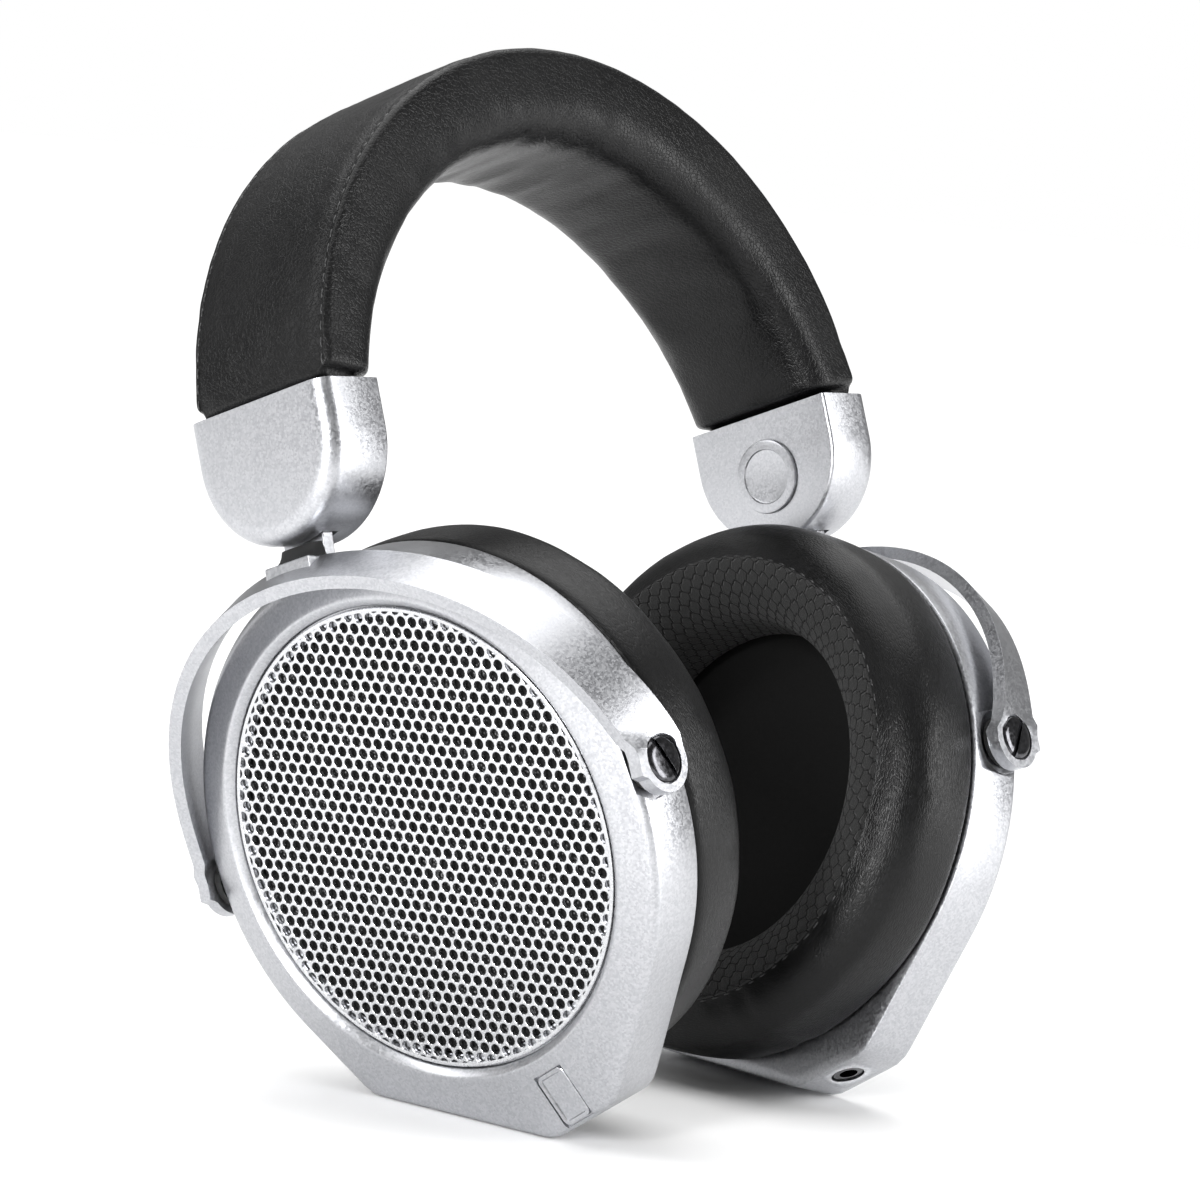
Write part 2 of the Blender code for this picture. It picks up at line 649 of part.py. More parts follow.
def face_u(radius):
    """Height u of the cup's outer face at a radius, in the chin."""
    share = (radius - RIM_RADIUS) / (CHIN_REACH - CREST_INSET - RIM_RADIUS)
    return RIM_U + (CREST - RIM_U) * share


def ear_housing(name, side, tilt, silver):
    inner = CUP_RADIUS - CUP_WALL
    shelf = GRILLE_U - GRILLE_THICK - FIT / 2
    loops = [cup_loop(PAD_PLANE, radius=inner), cup_loop(PAD_PLANE, inset=0.0), cup_loop(WALL_END, inset=0.0),
             cup_loop(WALL_END + 0.7, inset=0.35), cup_loop(CREST, inset=CREST_INSET),
             cup_loop(RIM_U, radius=RIM_RADIUS), cup_loop(GRILLE_U + 0.2, radius=GRILLE_RADIUS + FIT + 0.4),
             cup_loop(shelf, radius=GRILLE_RADIUS + FIT), cup_loop(shelf, radius=SHELF_RADIUS),
             cup_loop(shelf - SHELF_THICK, radius=SHELF_RADIUS), cup_loop(shelf - SHELF_THICK, radius=inner)]
    piece = add_piece("ear_housing_" + name, skin(bmesh.new(), loops, closed=True), silver, tilt, side)
    cuts = bmesh.new()
    for way in (-1, 1):
        floor = CUP_RADIUS - POCKET_DEPTH
        rod(cuts, (0, way * floor, 0), (0, way * (CUP_RADIUS + 4), 0), POCKET_RADIUS, 32)
    boolean(piece, add_piece("cut_pockets_" + name, cuts, None, tilt, side, cutter=True))
    holes = bmesh.new()
    for way in (-1, 1):
        rod(holes, (0, way * (inner - 4), 0), (0, way * (CUP_RADIUS + 4), 0), PIVOT_SHANK + FIT, 20)
    for angle in baffle_screw_angles():
        start = cup_point(shelf - SHELF_THICK - 1, BAFFLE_SCREW_CIRCLE, angle)
        end = cup_point(shelf - SHELF_THICK + 1.0, BAFFLE_SCREW_CIRCLE, angle)
        rod(holes, start, end, BAFFLE_SCREW_SHANK + FIT, 12)
    boolean(piece, add_piece("cut_holes_" + name, holes, None, tilt, side, cutter=True))
    inlay = bmesh.new()
    half_wide, half_long = BADGE_WIDE / 2 + FIT, BADGE_LONG / 2 + FIT
    box(inlay, (-BADGE_THICK - FIT, -half_wide, -half_long), (3, half_wide, half_long),
        badge_matrix(face_u(BADGE_RADIUS)))
    boolean(piece, add_piece("cut_inlay_" + name, inlay, None, tilt, side, cutter=True))
    if side > 0:
        jack = rod(bmesh.new(), jack_point(CHIN_REACH - 16), jack_point(CHIN_REACH + 4), JACK_RADIUS + FIT, 24)
        boolean(piece, add_piece("cut_jack_" + name, jack, None, tilt, side, cutter=True))


def badge(name, side, tilt, silver):
    bm = bmesh.new()
    half_wide, half_long = BADGE_WIDE / 2, BADGE_LONG / 2
    box(bm, (-BADGE_THICK, -half_wide, -half_long), (0, half_wide, half_long), badge_matrix(face_u(BADGE_RADIUS)))
    add_piece("badge_" + name, bm, silver, tilt, side)


def jack_point(radius):
    return cup_point(JACK_U, radius, math.radians(CHIN_ANGLE))


def jack_socket(side, tilt, steel):
    outer = CHIN_REACH - FIT
    rings = [(JACK_BORE, outer), (JACK_RADIUS, outer), (JACK_RADIUS, outer - JACK_LENGTH),
             (JACK_BORE, outer - JACK_LENGTH)]
    away = Vector(jack_point(1)) - Vector(jack_point(0))
    across = away.to_track_quat('Z', 'Y').to_matrix()
    loops = []
    for i in range(24):
        angle = 2 * math.pi * i / 24
        loops.append([Vector(jack_point(level)) + across @ Vector((r * math.cos(angle), r * math.sin(angle), 0))
                      for r, level in rings])
    add_piece("jack_socket", skin(bmesh.new(), loops, closed=True), steel, tilt, side)


def stator(name, side, tilt, low, dark):
    bm = disc(STATOR_RADIUS, low, low + STATOR_THICK)
    piece = add_piece(name, bm, dark, tilt, side)
    slots = bmesh.new()
    turn = Matrix.Translation((0, 0, -PIVOT_HEIGHT)) @ Matrix.Rotation(math.radians(-35), 4, 'X')
    for i in range(SLOT_COUNT):
        offset = (i - (SLOT_COUNT - 1) / 2) * SLOT_PITCH
        reach = math.sqrt((STATOR_RADIUS - 5) ** 2 - (abs(offset) + SLOT_WIDTH / 2) ** 2)
        box(slots, (low - 1, offset - SLOT_WIDTH / 2, -reach), (low + STATOR_THICK + 1, offset + SLOT_WIDTH / 2, reach),
            turn)
    boolean(piece, add_piece("cut_" + name, slots, None, tilt, side, cutter=True))


def baffle_screw_angles():
    return [math.radians(degrees) for degrees in (-70, 110)]


def baffle(name, side, tilt, plastic):
    outer = CUP_RADIUS - CUP_WALL - FIT
    top, recess = BAFFLE_U + BAFFLE_THICK, BAFFLE_U + CLOTH_THICK + FIT
    profile = [(outer, BAFFLE_U), (outer, top), (BAFFLE_OPENING, top), (BAFFLE_OPENING, recess),
               (INNER_CLOTH_RADIUS + FIT, recess), (INNER_CLOTH_RADIUS + FIT, BAFFLE_U)]
    piece = add_piece("baffle_" + name, turned(profile, 32), plastic, tilt, side)
    cuts = bmesh.new()
    for angle in baffle_screw_angles():
        rod(cuts, cup_point(BAFFLE_U - 2, BAFFLE_SCREW_CIRCLE, angle),
            cup_point(top + 2, BAFFLE_SCREW_CIRCLE, angle), BAFFLE_SCREW_SHANK + FIT, 12)
    if side > 0:
        rod(cuts, jack_point(CHIN_REACH - JACK_LENGTH - 3 * FIT), jack_point(CHIN_REACH), JACK_RADIUS + 2 * FIT, 16)
    boolean(piece, add_piece("cut_baffle_" + name, cuts, None, tilt, side, cutter=True))


def baffle_screw(name, side, tilt, index, angle, steel):
    head_low = BAFFLE_U - FIT - 0.5
    shelf = GRILLE_U - GRILLE_THICK - FIT / 2 - SHELF_THICK
    rings = [(head_low, BAFFLE_SCREW_HEAD), (BAFFLE_U - FIT, BAFFLE_SCREW_HEAD),
             (BAFFLE_U - FIT, BAFFLE_SCREW_SHANK), (shelf + 1.0 - FIT, BAFFLE_SCREW_SHANK)]
    loops = []
    for u, radius in rings:
        centre = Vector(cup_point(u, BAFFLE_SCREW_CIRCLE, angle))
        turn = [2 * math.pi * i / 12 for i in range(12)]
        loops.append([centre + Vector((0, radius * math.cos(a), radius * math.sin(a))) for a in turn])
    add_piece("baffle_screw_%d_%s" % (index, name), skin(bmesh.new(), loops), steel, tilt, side)


def diaphragm(name, side, tilt, film):
    """Stretched film in its clamping ring."""
    low, high = INNER_STATOR_U + STATOR_THICK + FIT / 2, OUTER_STATOR_U - FIT / 2
    middle = (low + high) / 2
    rings = [(middle - FILM_THICK / 2, STATOR_RADIUS - 6), (low, STATOR_RADIUS - 5), (low, STATOR_RADIUS),
             (high, STATOR_RADIUS), (high, STATOR_RADIUS - 5), (middle + FILM_THICK / 2, STATOR_RADIUS - 6)]
    loops = []
    for u, radius in rings:
        turn = [2 * math.pi * i / 32 for i in range(32)]
        loops.append([cup_point(u, radius, a) for a in turn])
    add_piece("diaphragm_" + name, skin(bmesh.new(), loops), film, tilt, side)


# ---------------------------------------------------------------- ear pad

def pad_section(inset):
    """Half outline of the pad from its outer base over the face to its inner base."""
    base = PAD_PLANE - FIT - inset
    top = PAD_PLANE - PAD_THICK + inset
    outer, inner = PAD_OUTER - inset, PAD_INNER + inset
    shoulder, lip = PAD_SHOULDER - inset, PAD_LIP - inset
    points = [(outer, base)]
    for degrees in (0, 30, 60, 90):
        angle = math.radians(degrees)
        points.append((outer - shoulder * (1 - math.cos(angle)), top + shoulder * (1 - math.sin(angle))))
    for degrees in (90, 60, 30, 0):
        angle = math.radians(degrees)
        points.append((inner + lip * (1 - math.cos(angle)), top + lip * (1 - math.sin(angle))))
    points.append((inner, base))
    return points


def skin_strip(first, last, start_gap, end_gap):
    """Closed profile of a pad skin between two points of the section."""
    outer, inner = pad_section(0.0)[first:last], pad_section(PAD_SKIN)[first:last]
    shift = lambda points, i, gap: points.__setitem__(i, (points[i][0] + gap, points[i][1]))
    for points in (outer, inner):
        shift(points, 0, start_gap)
        shift(points, -1, end_gap)
    return outer + inner[::-1]


def ear_pad(name, side, tilt, leather, fabric, foam):
    cover = skin_strip(0, 5, 0, FIT / 2)
    add_piece("pad_cover_" + name, turned(cover, 28), leather, tilt, side)
    face = skin_strip(5, 10, -FIT / 2, 0)
    add_piece("pad_face_" + name, turned(face, 28), fabric, tilt, side)
    filling = pad_section(PAD_SKIN + FIT)
    ring_top = PAD_PLANE - 2 * FIT - PAD_RING_THICK - FIT
    filling[0] = (filling[0][0], ring_top)
    filling[-1] = (filling[-1][0], ring_top)
    add_piece("pad_foam_" + name, turned(filling, 28), foam, tilt, side)


def pad_ring(name, side, tilt, plastic):
    high = PAD_PLANE - 2 * FIT
    profile = [(PAD_RING_OUTER, high), (PAD_RING_OUTER, high - PAD_RING_THICK),
               (PAD_RING_INNER, high - PAD_RING_THICK), (PAD_RING_INNER, high)]
    add_piece("pad_ring_" + name, turned(profile, 28), plastic, tilt, side)


def pivot_screw(name, side, way, tilt, steel):
    outer = YOKE_SIDE - 0.1
    seat = outer - PIVOT_HEAD_THICK + FIT
    rings = [(outer, PIVOT_HEAD), (seat, PIVOT_HEAD), (seat, PIVOT_SHANK), (CUP_RADIUS - CUP_WALL - 2, PIVOT_SHANK)]
    loops = []
    for y, radius in rings:
        turn = [2 * math.pi * i / 24 for i in range(24)]
        loops.append([(radius * math.cos(a), way * y, radius * math.sin(a)) for a in turn])
    where = "front" if way < 0 else "rear"
    piece = add_piece("pivot_screw_" + where + "_" + name, skin(bmesh.new(), loops), steel, tilt, side)
    slot = bmesh.new()
    turn = Matrix.Rotation(math.radians(20), 4, 'Y')
    box(slot, (-SCREW_SLOT / 2, way * (outer - 0.5), -PIVOT_HEAD - 1),
        (SCREW_SLOT / 2, way * (outer + 1), PIVOT_HEAD + 1), turn)
    boolean(piece, add_piece("cut_slot_" + where + "_" + name, slot, None, tilt, side, cutter=True))


# ---------------------------------------------------------------- assembly

def stand_on_ground(stance):
    """Moves the stance so that the headphones' lowest point is at z 0, centred in x and y."""
    depsgraph = bpy.context.evaluated_depsgraph_get()
    low, high = Vector((9, 9, 9)), Vector((-9, -9, -9))
    for piece in bpy.context.collection.objects:
        if piece.type == 'EMPTY' or piece.hide_render:
            continue
        shape = piece.evaluated_get(depsgraph)
        for vertex in shape.to_mesh().vertices:
            place = shape.matrix_world @ vertex.co
            low = Vector(map(min, low, place))
            high = Vector(map(max, high, place))
        shape.to_mesh_clear()
    stance.location -= Vector(((low.x + high.x) / 2, (low.y + high.y) / 2, low.z))


def build():
    clear_scene()
    silver = finish("satin_silver", 0.60, 0.60, 0.61, 0.32, 0.9)
    bright = finish("bright_silver", 0.72, 0.72, 0.73, 0.22, 1.0)
    steel = finish("steel", 0.45, 0.45, 0.46, 0.25, 1.0)
    dark_steel = finish("dark_steel", 0.05, 0.05, 0.055, 0.4, 0.7)
    leather = finish("black_leather", 0.012, 0.012, 0.013, 0.45, 0.0)
    fabric = finish("black_fabric", 0.008, 0.008, 0.008, 0.95, 0.0)
    plastic = finish("black_plastic", 0.02, 0.02, 0.02, 0.5, 0.0)
    rubber = finish("black_rubber", 0.015, 0.015, 0.015, 0.7, 0.0)
    foam = finish("grey_foam", 0.12, 0.12, 0.12, 0.95, 0.0)
    film = finish("silver_film", 0.5, 0.48, 0.42, 0.25, 0.6)

    stance = make_empty("stance", rotation=(math.radians(-LEAN), 0, 0))
    headband_strip(stance, steel)
    headband_foam(stance, foam)
    headband_cover(stance, leather)
    crossover_lead(stance, rubber)
    for name, side in SIDES.items():
        end_cap(name, side, stance, silver)
        side_mark(name, side, stance, silver)
        cap_screw(name, side, stance, steel)
        slider_guide(name, side, stance, plastic)
        detent_leaf(name, side, stance, steel)

        slide = make_empty("slide_" + name, stance)
        slide.matrix_basis = slide_matrix(side)
        inverse = slide_matrix(side).inverted()
        yoke(name, side, slide, inverse, silver)
        slider_pieces(name, side, slide, inverse, steel, rubber)
        for way in (-1, 1):
            pivot_bush(name, side, way, slide, inverse, plastic)

        tilt = make_empty("tilt_" + name, slide, (side * PIVOT_OUT, 0, PIVOT_HEIGHT),
                          (0, math.radians(TUCK) * side, 0))
        tilt.matrix_parent_inverse = inverse
        ear_housing(name, side, tilt, silver)
        badge(name, side, tilt, bright)
        add_piece("grille_" + name, disc(GRILLE_RADIUS, GRILLE_U - GRILLE_THICK + FIT / 2, GRILLE_U, 48),
                  bright, tilt, side)
        cloth_top = GRILLE_U - GRILLE_THICK - FIT
        add_piece("grille_cloth_" + name, disc(SHELF_RADIUS - FIT, cloth_top - CLOTH_THICK, cloth_top),
                  fabric, tilt, side)
        stator("outer_stator_" + name, side, tilt, OUTER_STATOR_U, dark_steel)
        diaphragm(name, side, tilt, film)
        stator("inner_stator_" + name, side, tilt, INNER_STATOR_U, dark_steel)
        baffle(name, side, tilt, plastic)
        add_piece("inner_cloth_" + name, disc(INNER_CLOTH_RADIUS, BAFFLE_U, BAFFLE_U + CLOTH_THICK),
                  fabric, tilt, side)
        for index, angle in enumerate(baffle_screw_angles(), 1):
            baffle_screw(name, side, tilt, index, angle, steel)
        pad_ring(name, side, tilt, plastic)
        ear_pad(name, side, tilt, leather, fabric, foam)
        for way in (-1, 1):
            pivot_screw(name, side, way, tilt, steel)
        if side > 0:
            jack_socket(side, tilt, steel)
    bpy.context.view_layer.update()
    stand_on_ground(stance)
    bpy.context.view_layer.update()


build()
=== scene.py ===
import json
import math

import bmesh
import bpy
from mathutils import Matrix, Vector, noise


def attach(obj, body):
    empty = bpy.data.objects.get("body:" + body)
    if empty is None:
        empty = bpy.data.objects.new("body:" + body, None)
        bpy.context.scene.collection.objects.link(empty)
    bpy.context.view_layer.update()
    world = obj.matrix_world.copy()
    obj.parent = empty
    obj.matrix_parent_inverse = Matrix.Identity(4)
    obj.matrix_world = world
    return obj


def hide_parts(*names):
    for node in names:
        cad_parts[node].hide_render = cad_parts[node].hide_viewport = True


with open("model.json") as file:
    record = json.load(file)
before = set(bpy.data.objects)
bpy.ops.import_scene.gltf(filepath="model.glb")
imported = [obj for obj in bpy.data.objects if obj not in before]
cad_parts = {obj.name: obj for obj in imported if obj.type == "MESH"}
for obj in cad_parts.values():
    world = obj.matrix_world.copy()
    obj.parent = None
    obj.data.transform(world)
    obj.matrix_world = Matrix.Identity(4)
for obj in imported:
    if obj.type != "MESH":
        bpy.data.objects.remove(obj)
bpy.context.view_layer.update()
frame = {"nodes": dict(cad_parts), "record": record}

MM = 0.001
SIDES = {"left": 1, "right": -1}

# stance of the headphones, degrees
LEAN = 21.4
TUCK = 14.0
STEM_CANT = 4.5

# headband, millimetres, in the wearing frame
ARCH_OUT = 76.6
ARCH_RISE = 74.0
ARCH_HEIGHT = 70.7
BAND_INNER = (63.8, 55.4)     # at the caps, at the crown
BAND_HALF = (17.2, 18.0)
BAND_START = 2.0
SEAM_INSET = 1.5
PANEL_COLUMNS = 12            # mesh columns across the outer panel, from seam to seam
STITCH_PITCH = 3.0

# end caps and slider
CAP_INNER = 63.2
CAP_OUTER = 77.8
CAP_HALF = 17.4
CAP_TOP = 78.6
CAP_BOTTOM = 52.7
MARK_HEIGHT = 66.0
STEM_OUT = 70.0
STEM_LEVEL = 53.2

# yoke
PIVOT_OUT = 51.165
PIVOT_HEIGHT = 1.2
YOKE_SIDE = 55.2
YOKE_RISE = 46.2
YOKE_OUT = 26.0
YOKE_CANT = 29.37
YOKE_DISH = 31.0
YOKE_THICK = 2.6
ARM_HALF = 5.9
ARM_END = 6.5
YOKE_TOP_HALF = 4.3

# ear cup
CUP_RADIUS = 51.4
PAD_PLANE = -7.7
CREST = 4.9
RIM_RADIUS = 44.3
RIM_U = 6.3
GRILLE_RADIUS = 42.4
GRILLE_U = 5.0
CHIN_ANGLE = 13.0
CHIN_REACH = 57.8
FOOT_DEPTH = 52.2
HEEL = 15.0
BADGE_RADIUS = 52.0
WALL_BORE = 48.7              # inside radius of the side wall
SHELF = (40.5, 2.5, 3.9)      # ledge under the grille: inside radius, lower and upper face
CREST_INSET = 1.5             # crest's inset from the side wall
HOLE_PITCH = 2.43
HOLE_SHARE = 0.405            # hole radius over pitch
LATTICE_TURN = 18.0
BAR_TURN = -35.0              # direction across the magnet bars
BAR_PITCH = 7.6
BAR_LIFT = 0.35
CLOTH_RADIUS = 40.2
CLOTH_U = 3.2

# ear pad
PAD_OUTER = 51.4
PAD_INNER = 31.0
PAD_THICK = 20.0
PAD_SEAM = 43.5
KNIT_WIDE = 3.2
KNIT_ROW = 2.3
PAD_MEAN = 44.0               # radius at which the pad's skin is unrolled
PAD_COLUMNS = 150             # mesh columns round the pad


# ---------------------------------------------------------------- frames

def joint_place(name):
    for joint in frame["record"]["behaviour"]["joints"]:
        if joint["name"] == name:
            return Vector(joint["pos_m"])


LEANED = Matrix.Rotation(math.radians(-LEAN), 4, 'X')
STANCE_PLACE = joint_place("cup_tilt_left") - (LEANED @ Vector((PIVOT_OUT, 0, PIVOT_HEIGHT))) * MM
STANCE = Matrix.Translation(STANCE_PLACE) @ LEANED


def band_matrix(side):
    return STANCE @ Matrix.Diagonal((side * MM, MM, MM, 1))


def cup_matrix(side):
    place = Matrix.Translation((side * PIVOT_OUT * MM, 0, PIVOT_HEIGHT * MM))
    turn = Matrix.Rotation(math.radians(TUCK) * side, 4, 'Y')
    return STANCE @ place @ turn @ Matrix.Diagonal((side * MM, MM, MM, 1))


def stem_frame():
    turn = Matrix.Rotation(math.radians(-STEM_CANT), 4, 'Y')
    return Matrix.Translation((STEM_OUT, 0, STEM_LEVEL)) @ turn


# ---------------------------------------------------------------- mesh helpers

def grid(bm, loops, closed=False, caps=False, uv=None):
    """Quads over loops of equal length; uv gives each corner's place from its row and column."""
    rows = [[bm.verts.new(point) for point in loop] for loop in loops]
    layer = bm.loops.layers.uv.verify() if uv else None
    count = len(rows[0])
    for r in range(len(rows) if closed else len(rows) - 1):
        low, high = rows[r], rows[(r + 1) % len(rows)]
        for c in range(count):
            d = (c + 1) % count
            face = bm.faces.new((low[c], low[d], high[d], high[c]))
            if uv:
                corners = ((r, c), (r, c + 1), (r + 1, c + 1), (r + 1, c))
                for loop, (row, column) in zip(face.loops, corners):
                    loop[layer].uv = uv(row, column)
    if caps:
        bm.faces.new(rows[0])
        bm.faces.new(rows[-1])
    return bm


def box(bm, low, high, matrix=Matrix()):
    corners = [matrix @ Vector((x, y, z)) for x in (low[0], high[0]) for y in (low[1], high[1])
               for z in (low[2], high[2])]
    verts = [bm.verts.new(corner) for corner in corners]
    for face in ((0, 1, 3, 2), (4, 6, 7, 5), (0, 4, 5, 1), (2, 3, 7, 6), (0, 2, 6, 4), (1, 5, 7, 3)):
        bm.faces.new([verts[i] for i in face])
    return bm


def tube(bm, rings, matrix, segments=48):
    """A turned, closed shape along local X from (x, radius) rings."""
    loops = []
    for x, radius in rings:
        turn = [2 * math.pi * i / segments for i in range(segments)]
        loops.append([matrix @ Vector((x, radius * math.cos(a), radius * math.sin(a))) for a in turn])
    return grid(bm, loops, caps=True)


def piece(name, bm, matrix, material, body=None, replaces=(), angle=30, outward=True):
    """Makes an object of a millimetre bmesh, placed by matrix, and hangs it on its body."""
    bmesh.ops.transform(bm, matrix=matrix, verts=bm.verts)
    if outward:
        bmesh.ops.recalc_face_normals(bm, faces=bm.faces)
    elif matrix.determinant() < 0:
        bmesh.ops.reverse_faces(bm, faces=bm.faces)
    mesh = bpy.data.meshes.new(name)
    bm.to_mesh(mesh)
    bm.free()
    mesh.shade_smooth()
    if angle:
        mesh.set_sharp_from_angle(angle=math.radians(angle))
    made = bpy.data.objects.new(name, mesh)
    if material:
        mesh.materials.append(material)
    bpy.context.collection.objects.link(made)
    if body:
        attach(made, body)
    if replaces:
        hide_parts(*replaces)
    return made


def cut(target, bm, matrix):
    """Takes a shape out of a piece and applies the result."""
    cutter = piece("cutter", bm, matrix, None)
    modifier = target.modifiers.new("cut", 'BOOLEAN')
    modifier.operation = 'DIFFERENCE'
    modifier.object = cutter
    settle(target)
    bpy.data.objects.remove(cutter, do_unlink=True)


def settle(target):
    """Applies a piece's modifiers to its mesh."""
    bpy.context.view_layer.update()
    shape = target.evaluated_get(bpy.context.evaluated_depsgraph_get())
    mesh = bpy.data.meshes.new_from_object(shape)
    target.modifiers.clear()
    old = target.data
    target.data = mesh
    bpy.data.meshes.remove(old)
    mesh.name = target.name


def soften(target, width, segments=2, angle=32):
    """Small rounded edges, as on a cast and lacquered part."""
    modifier = target.modifiers.new("edges", 'BEVEL')
    modifier.width = width * MM
    modifier.segments = segments
    modifier.limit_method = 'ANGLE'
    modifier.angle_limit = math.radians(angle)
    modifier.harden_normals = True
    settle(target)


def swell(target, held, pressure, slack, cap, frames=16):
    """Cloth under pressure between held points; no point moves further than cap millimetres."""
    start = [v.co.copy() for v in target.data.vertices]
    group = target.vertex_groups.new(name="held")
    for index, weight in held.items():
        group.add([index], weight, 'REPLACE')
    modifier = target.modifiers.new("swell", 'CLOTH')
    cloth = modifier.settings
    cloth.quality = 5
    cloth.mass = 0.15
    cloth.tension_stiffness = cloth.compression_stiffness = 25
    cloth.shear_stiffness = 10
    cloth.bending_stiffness = 0.8
    cloth.vertex_group_mass = "held"
    cloth.use_pressure = True
    cloth.uniform_pressure_force = pressure
    cloth.shrink_min = -slack
    cloth.effector_weights.gravity = 0
    modifier.collision_settings.use_collision = False
    scene = bpy.context.scene
    for number in range(1, frames + 1):
        scene.frame_set(number)
    shape = target.evaluated_get(bpy.context.evaluated_depsgraph_get())
    moved = [v.co.copy() for v in shape.data.vertices]
    target.modifiers.clear()
    target.vertex_groups.clear()
    scene.frame_set(1)
    for vertex, before, after in zip(target.data.vertices, start, moved):
        shift = after - before
        if shift.length > cap * MM:
            shift *= cap * MM / shift.length
        vertex.co = before + shift


# ---------------------------------------------------------------- materials

def linear(code):
    """An sRGB hex colour as linear RGBA."""
    values = [int(code[i:i + 2], 16) / 255 for i in (1, 3, 5)]
    return tuple(v / 12.92 if v <= 0.04045 else ((v + 0.055) / 1.055) ** 2.4 for v in values) + (1.0,)


def add(tree, kind, links=None, **settings):
    """Adds a node, sets it up, and feeds its inputs with values or with other nodes' outputs."""
    made = tree.nodes.new(kind)
    for name, value in settings.items():
        setattr(made, name, value)
    for key, value in (links or {}).items():
        if isinstance(value, bpy.types.NodeSocket):
            tree.links.new(value, made.inputs[key])
        else:
            made.inputs[key].default_value = value
    return made


def new_material(name, base, roughness, metallic=0.0, ior=1.5):
    material = bpy.data.materials.new(name)
    material.use_nodes = True
    tree = material.node_tree
    shader = tree.nodes["Principled BSDF"]
    shader.inputs["Base Color"].default_value = linear(base)
    shader.inputs["Roughness"].default_value = roughness
    shader.inputs["Metallic"].default_value = metallic
    if not metallic:
        shader.inputs["IOR"].default_value = ior
    material.diffuse_color = linear(base)
    return material, tree, shader


def place_in_mm(tree, uv=False):
    """Coordinates in millimetres, from the piece's own place or its unrolled skin."""
    source = add(tree, "ShaderNodeTexCoord").outputs["UV" if uv else "Object"]
    scale = 1.0 if uv else 1000.0
    return add(tree, "ShaderNodeVectorMath", {0: source, 3: scale}, operation='SCALE').outputs[0]


def tint(tree, factor, dark, light, low=0.0, high=1.0):
    ramp = add(tree, "ShaderNodeValToRGB", {0: factor})
    ramp.color_ramp.elements[0].position = low
    ramp.color_ramp.elements[1].position = high
    ramp.color_ramp.elements[0].color = linear(dark)
    ramp.color_ramp.elements[1].color = linear(light)
    return ramp.outputs[0]


def spread(tree, value, low, high, to_low, to_high):
    links = {0: value, 1: low, 2: high, 3: to_low, 4: to_high}
    return add(tree, "ShaderNodeMapRange", links).outputs[0]


def raise_by(tree, shader, height, strength, distance):
    links = {"Height": height, "Strength": strength, "Distance": distance * MM}
    tree.links.new(add(tree, "ShaderNodeBump", links).outputs[0], shader.inputs["Normal"])


def satin_lacquer(name="silver_flake_lacquer", base="#bcbdc0", deep="#a9aaae", roughness=0.34):
    """Silver lacquer on a cast part: metal flakes of about 0.4 mm under a satin skin."""
    material, tree, shader = new_material(name, base, roughness, metallic=1.0)
    place = place_in_mm(tree)
    flake = add(tree, "ShaderNodeTexVoronoi", {"Vector": place, "Scale": 2.6})
    grain = add(tree, "ShaderNodeTexNoise", {"Vector": place, "Scale": 3.2, "Detail": 3.0})
    share = add(tree, "ShaderNodeSeparateColor", {0: flake.outputs["Color"]}).outputs[0]
    tree.links.new(tint(tree, share, deep, base), shader.inputs["Base Color"])
    tree.links.new(spread(tree, share, 0, 1, roughness - 0.06, roughness + 0.07), shader.inputs["Roughness"])
    height = add(tree, "ShaderNodeMath", {0: share, 1: grain.outputs[0]}, operation='ADD').outputs[0]
    raise_by(tree, shader, height, 0.16, 0.05)
    return material


def pressed_leather():
    """Black synthetic leather with a pressed pore grain of about 0.9 mm and a low sheen."""
    material, tree, shader = new_material("pressed_grain_leather", "#050506", 0.34, ior=1.4)
    shader.inputs["Specular IOR Level"].default_value = 0.32
    place = place_in_mm(tree)
    bend = add(tree, "ShaderNodeTexNoise", {"Vector": place, "Scale": 0.7, "Detail": 2.0})
    wander = add(tree, "ShaderNodeVectorMath", {0: bend.outputs["Color"], 3: 1.4}, operation='SCALE')
    moved = add(tree, "ShaderNodeVectorMath", {0: place, 1: wander.outputs[0]}, operation='ADD').outputs[0]
    pores = add(tree, "ShaderNodeTexVoronoi", {"Vector": moved, "Scale": 1.15}, feature='DISTANCE_TO_EDGE')
    fine = add(tree, "ShaderNodeTexNoise", {"Vector": place, "Scale": 4.5, "Detail": 3.0})
    crease = spread(tree, pores.outputs[0], 0.0, 0.16, 0.0, 1.0)
    wide = add(tree, "ShaderNodeTexNoise", {"Vector": place, "Scale": 0.05, "Detail": 2.0})
    # painted shade: the base colour is darker in the creases between the pores
    tree.links.new(tint(tree, crease, "#030303", "#080809"), shader.inputs["Base Color"])
    tree.links.new(spread(tree, wide.outputs[0], 0.3, 0.7, 0.29, 0.42), shader.inputs["Roughness"])
    both = add(tree, "ShaderNodeMath", {0: fine.outputs[0], 1: 0.4, 2: crease}, operation='MULTIPLY_ADD')
    raise_by(tree, shader, both.outputs[0], 0.35, 0.12)
    return material


